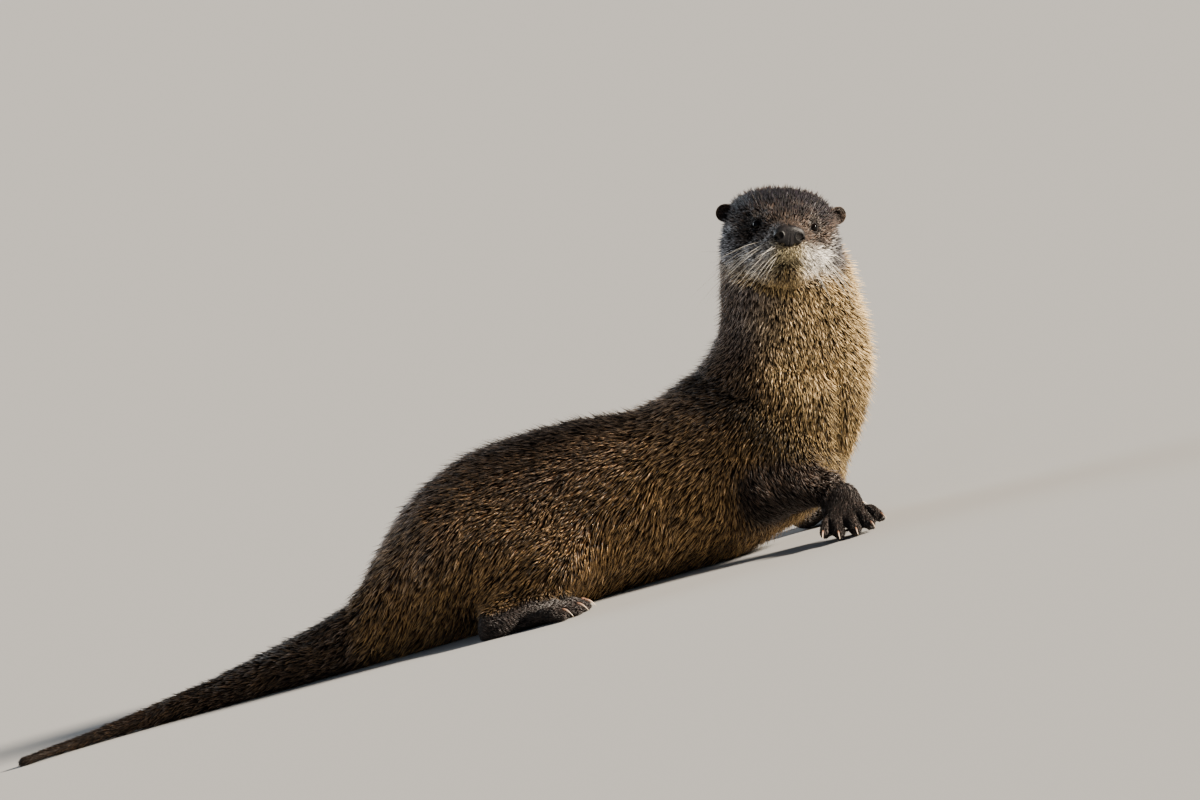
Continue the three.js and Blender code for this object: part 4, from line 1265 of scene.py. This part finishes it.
def claw_material():
    """Horn: reddish brown where it grows, pale at the point."""
    made = Nodes("claw")
    horn = (0.0, (0.10, 0.045, 0.03)), (0.35, (0.30, 0.17, 0.11)), (0.85, (0.62, 0.50, 0.38))
    grain = made.ramp(made.noise(1100, 2), (0.3, 0.75), (0.7, 1.15))
    made.set(Base_Color=made.times(made.ramp(made.attribute("along"), *horn), grain), Roughness=0.28)
    made.bump(made.noise(1500), 0.2, 0.0002)
    return made.material


def add_claws():
    material = claw_material()
    reach = CLAW["length"] * MM
    for name in FEET:
        lift, curve = CLAW[name[:4]]
        parts = []
        for tip, way in zip(*CLAWS[name]):
            t = np.linspace(0, 1, 9)
            root = tip - way * CLAW["buried"] * MM + np.array([0, 0, lift]) * MM
            level = unit(way * (1, 1, 0.15))
            path = root + (level * reach) * t[:, None]
            drop = max(root[2] + level[2] * reach - 0.7 * MM, 1.5 * MM)
            path[:, 2] -= min(drop, curve * MM) * t**2.2
            radius = CLAW["radius"] * MM * (1 - t**1.8) + 0.08 * MM
            parts.append(bent_tube(path, np.stack([radius * 0.78, radius], axis=1), 10))
        points, faces, along = joined(parts)
        points[:, 2] = np.maximum(points[:, 2], LOWEST["claw"] * MM)
        dress(make_object(f"claws_{name}", points, faces, along=along), material, "paw")


def whisker(root, way, sag, length, radius):
    t = np.linspace(0, 1, 12)
    path = root + unit(np.array(way, dtype=float)) * (length * t)[:, None]
    path = path + np.array(sag, dtype=float) * (length * t**2)[:, None]
    thin = radius * (1 - 0.85 * t)
    return bent_tube(from_head(path), np.stack([thin, thin], axis=1) * MM, 5)


def whisker_piece(name, parts, root, tip):
    """Hairs joined in one piece, from the root's colour to the tip's."""
    made = Nodes(name)
    colour = made.ramp(made.attribute("along"), (0.0, root), (0.35, tip), (1.0, tip))
    bands = made.ramp(made.noise(180), (0.35, 0.8), (0.65, 1.1))
    made.set(Base_Color=made.times(colour, bands), Roughness=0.32)
    points, faces, along = joined(parts)
    points[:, 2] = np.maximum(points[:, 2], LOWEST["whisker"] * MM)
    dress(make_object(name, points, faces, along=along), made.material, "coat")


def add_whiskers():
    pale, dark = [], []
    rows, in_row = WHISKERS["rows"], WHISKERS["in_row"]
    for side, _ in SIDES:
        mirror = np.array([1, side, 1])
        for row in range(rows):
            for k in range(in_row):
                t = k / (in_row - 1)
                start = np.array([[80 - 22 * t, 9 + 17 * t, -23 - 2.9 * row + 2 * t]])
                start = start + rng.normal(0, 0.7, 3)
                start = onto_field(head_field, start)[0] * mirror
                down = -0.35 - 0.16 * row + rng.normal(0, 0.14)
                way = (0.45 - 0.65 * t, side * (0.8 + 0.4 * t), down)
                sag = (-0.2 * t, side * 0.03, -0.15 - 0.25 * rng.random())
                length = mix(*WHISKERS["length"], t * (0.5 + 0.5 * rng.random()))
                pale.append(whisker(start, way, sag, length, WHISKERS["radius"]))
        for place, way in BROW_HAIRS:
            start = onto_field(head_field, np.array([place], dtype=float))[0] * mirror
            length = 19 + 9 * rng.random()
            dark.append(whisker(start, np.array(way) * mirror, (0, 0, 0.12), length, 0.12))
    whisker_piece("whiskers", pale, (0.30, 0.24, 0.18), (0.80, 0.75, 0.66))
    whisker_piece("brow_hairs", dark, (0.03, 0.02, 0.016), (0.10, 0.075, 0.06))


# ---- stage
def add_camera():
    """Camera square on to the otter's right, rolled as far as its log slopes in life."""
    elevation, roll = math.radians(CAMERA["elevation"]), math.radians(CAMERA["roll"])
    back = Vector((0, -math.cos(elevation), math.sin(elevation)))
    level, above = Vector((1, 0, 0)), Vector((0, math.sin(elevation), math.cos(elevation)))
    right = level * math.cos(roll) - above * math.sin(roll)
    up = level * math.sin(roll) + above * math.cos(roll)
    data = bpy.data.cameras.new("camera")
    data.sensor_width = CAMERA["sensor"]
    data.lens = CAMERA["sensor"] * CAMERA["distance"] / CAMERA["across"]
    data.clip_end = 200
    camera = bpy.data.objects.new("camera", data)
    turn = Matrix((right, up, back)).transposed().to_4x4()
    camera.matrix_world = Matrix.Translation(Vector(AIM) + back * CAMERA["distance"]) @ turn
    bpy.context.scene.collection.objects.link(camera)
    bpy.context.scene.camera = camera


def add_stage():
    """Plain floor, suns and sky."""
    half = FLOOR["half"]
    corners = np.array([(-half, -half, 0), (half, -half, 0), (half, half, 0), (-half, half, 0)], float)
    floor = make_object("floor", corners, np.array([[0, 1, 2, 3]]))
    made = Nodes("floor")
    made.set(Base_Color=(*FLOOR["colour"], 1), Roughness=FLOOR["roughness"])
    floor.data.materials.append(made.material)
    for name, (direction, power, colour, softness) in SUNS.items():
        data = bpy.data.lights.new(name, "SUN")
        data.energy, data.color, data.angle = power, colour, math.radians(softness)
        light = bpy.data.objects.new(name, data)
        light.rotation_mode = "QUATERNION"
        light.rotation_quaternion = Vector(direction).to_track_quat("Z", "Y")
        bpy.context.scene.collection.objects.link(light)
    world = bpy.data.worlds.new("studio")
    world.use_nodes = True
    for key, value in SKY.items():
        world.node_tree.nodes["Background"].inputs[key].default_value = value
    bpy.context.scene.world = world


# ---- the otter
add_camera()
add_stage()
points, triangles, shares = build_skin()
normals = vertex_normals(points, triangles)
skin_cloth, coat_cloth = skin_material(), coat_material()
fur, under = markings(points, shares, normals), face_nap(points, shares)
skin = make_object("skin", points, triangles, fur=fur, under=under)
dress(skin, skin_cloth, "coat", *FLESH)
grow_coat(points, triangles, shares, normals, coat_cloth)
add_eyes()
add_nose()
add_ears(skin_cloth, coat_cloth)
add_claws()
add_whiskers()
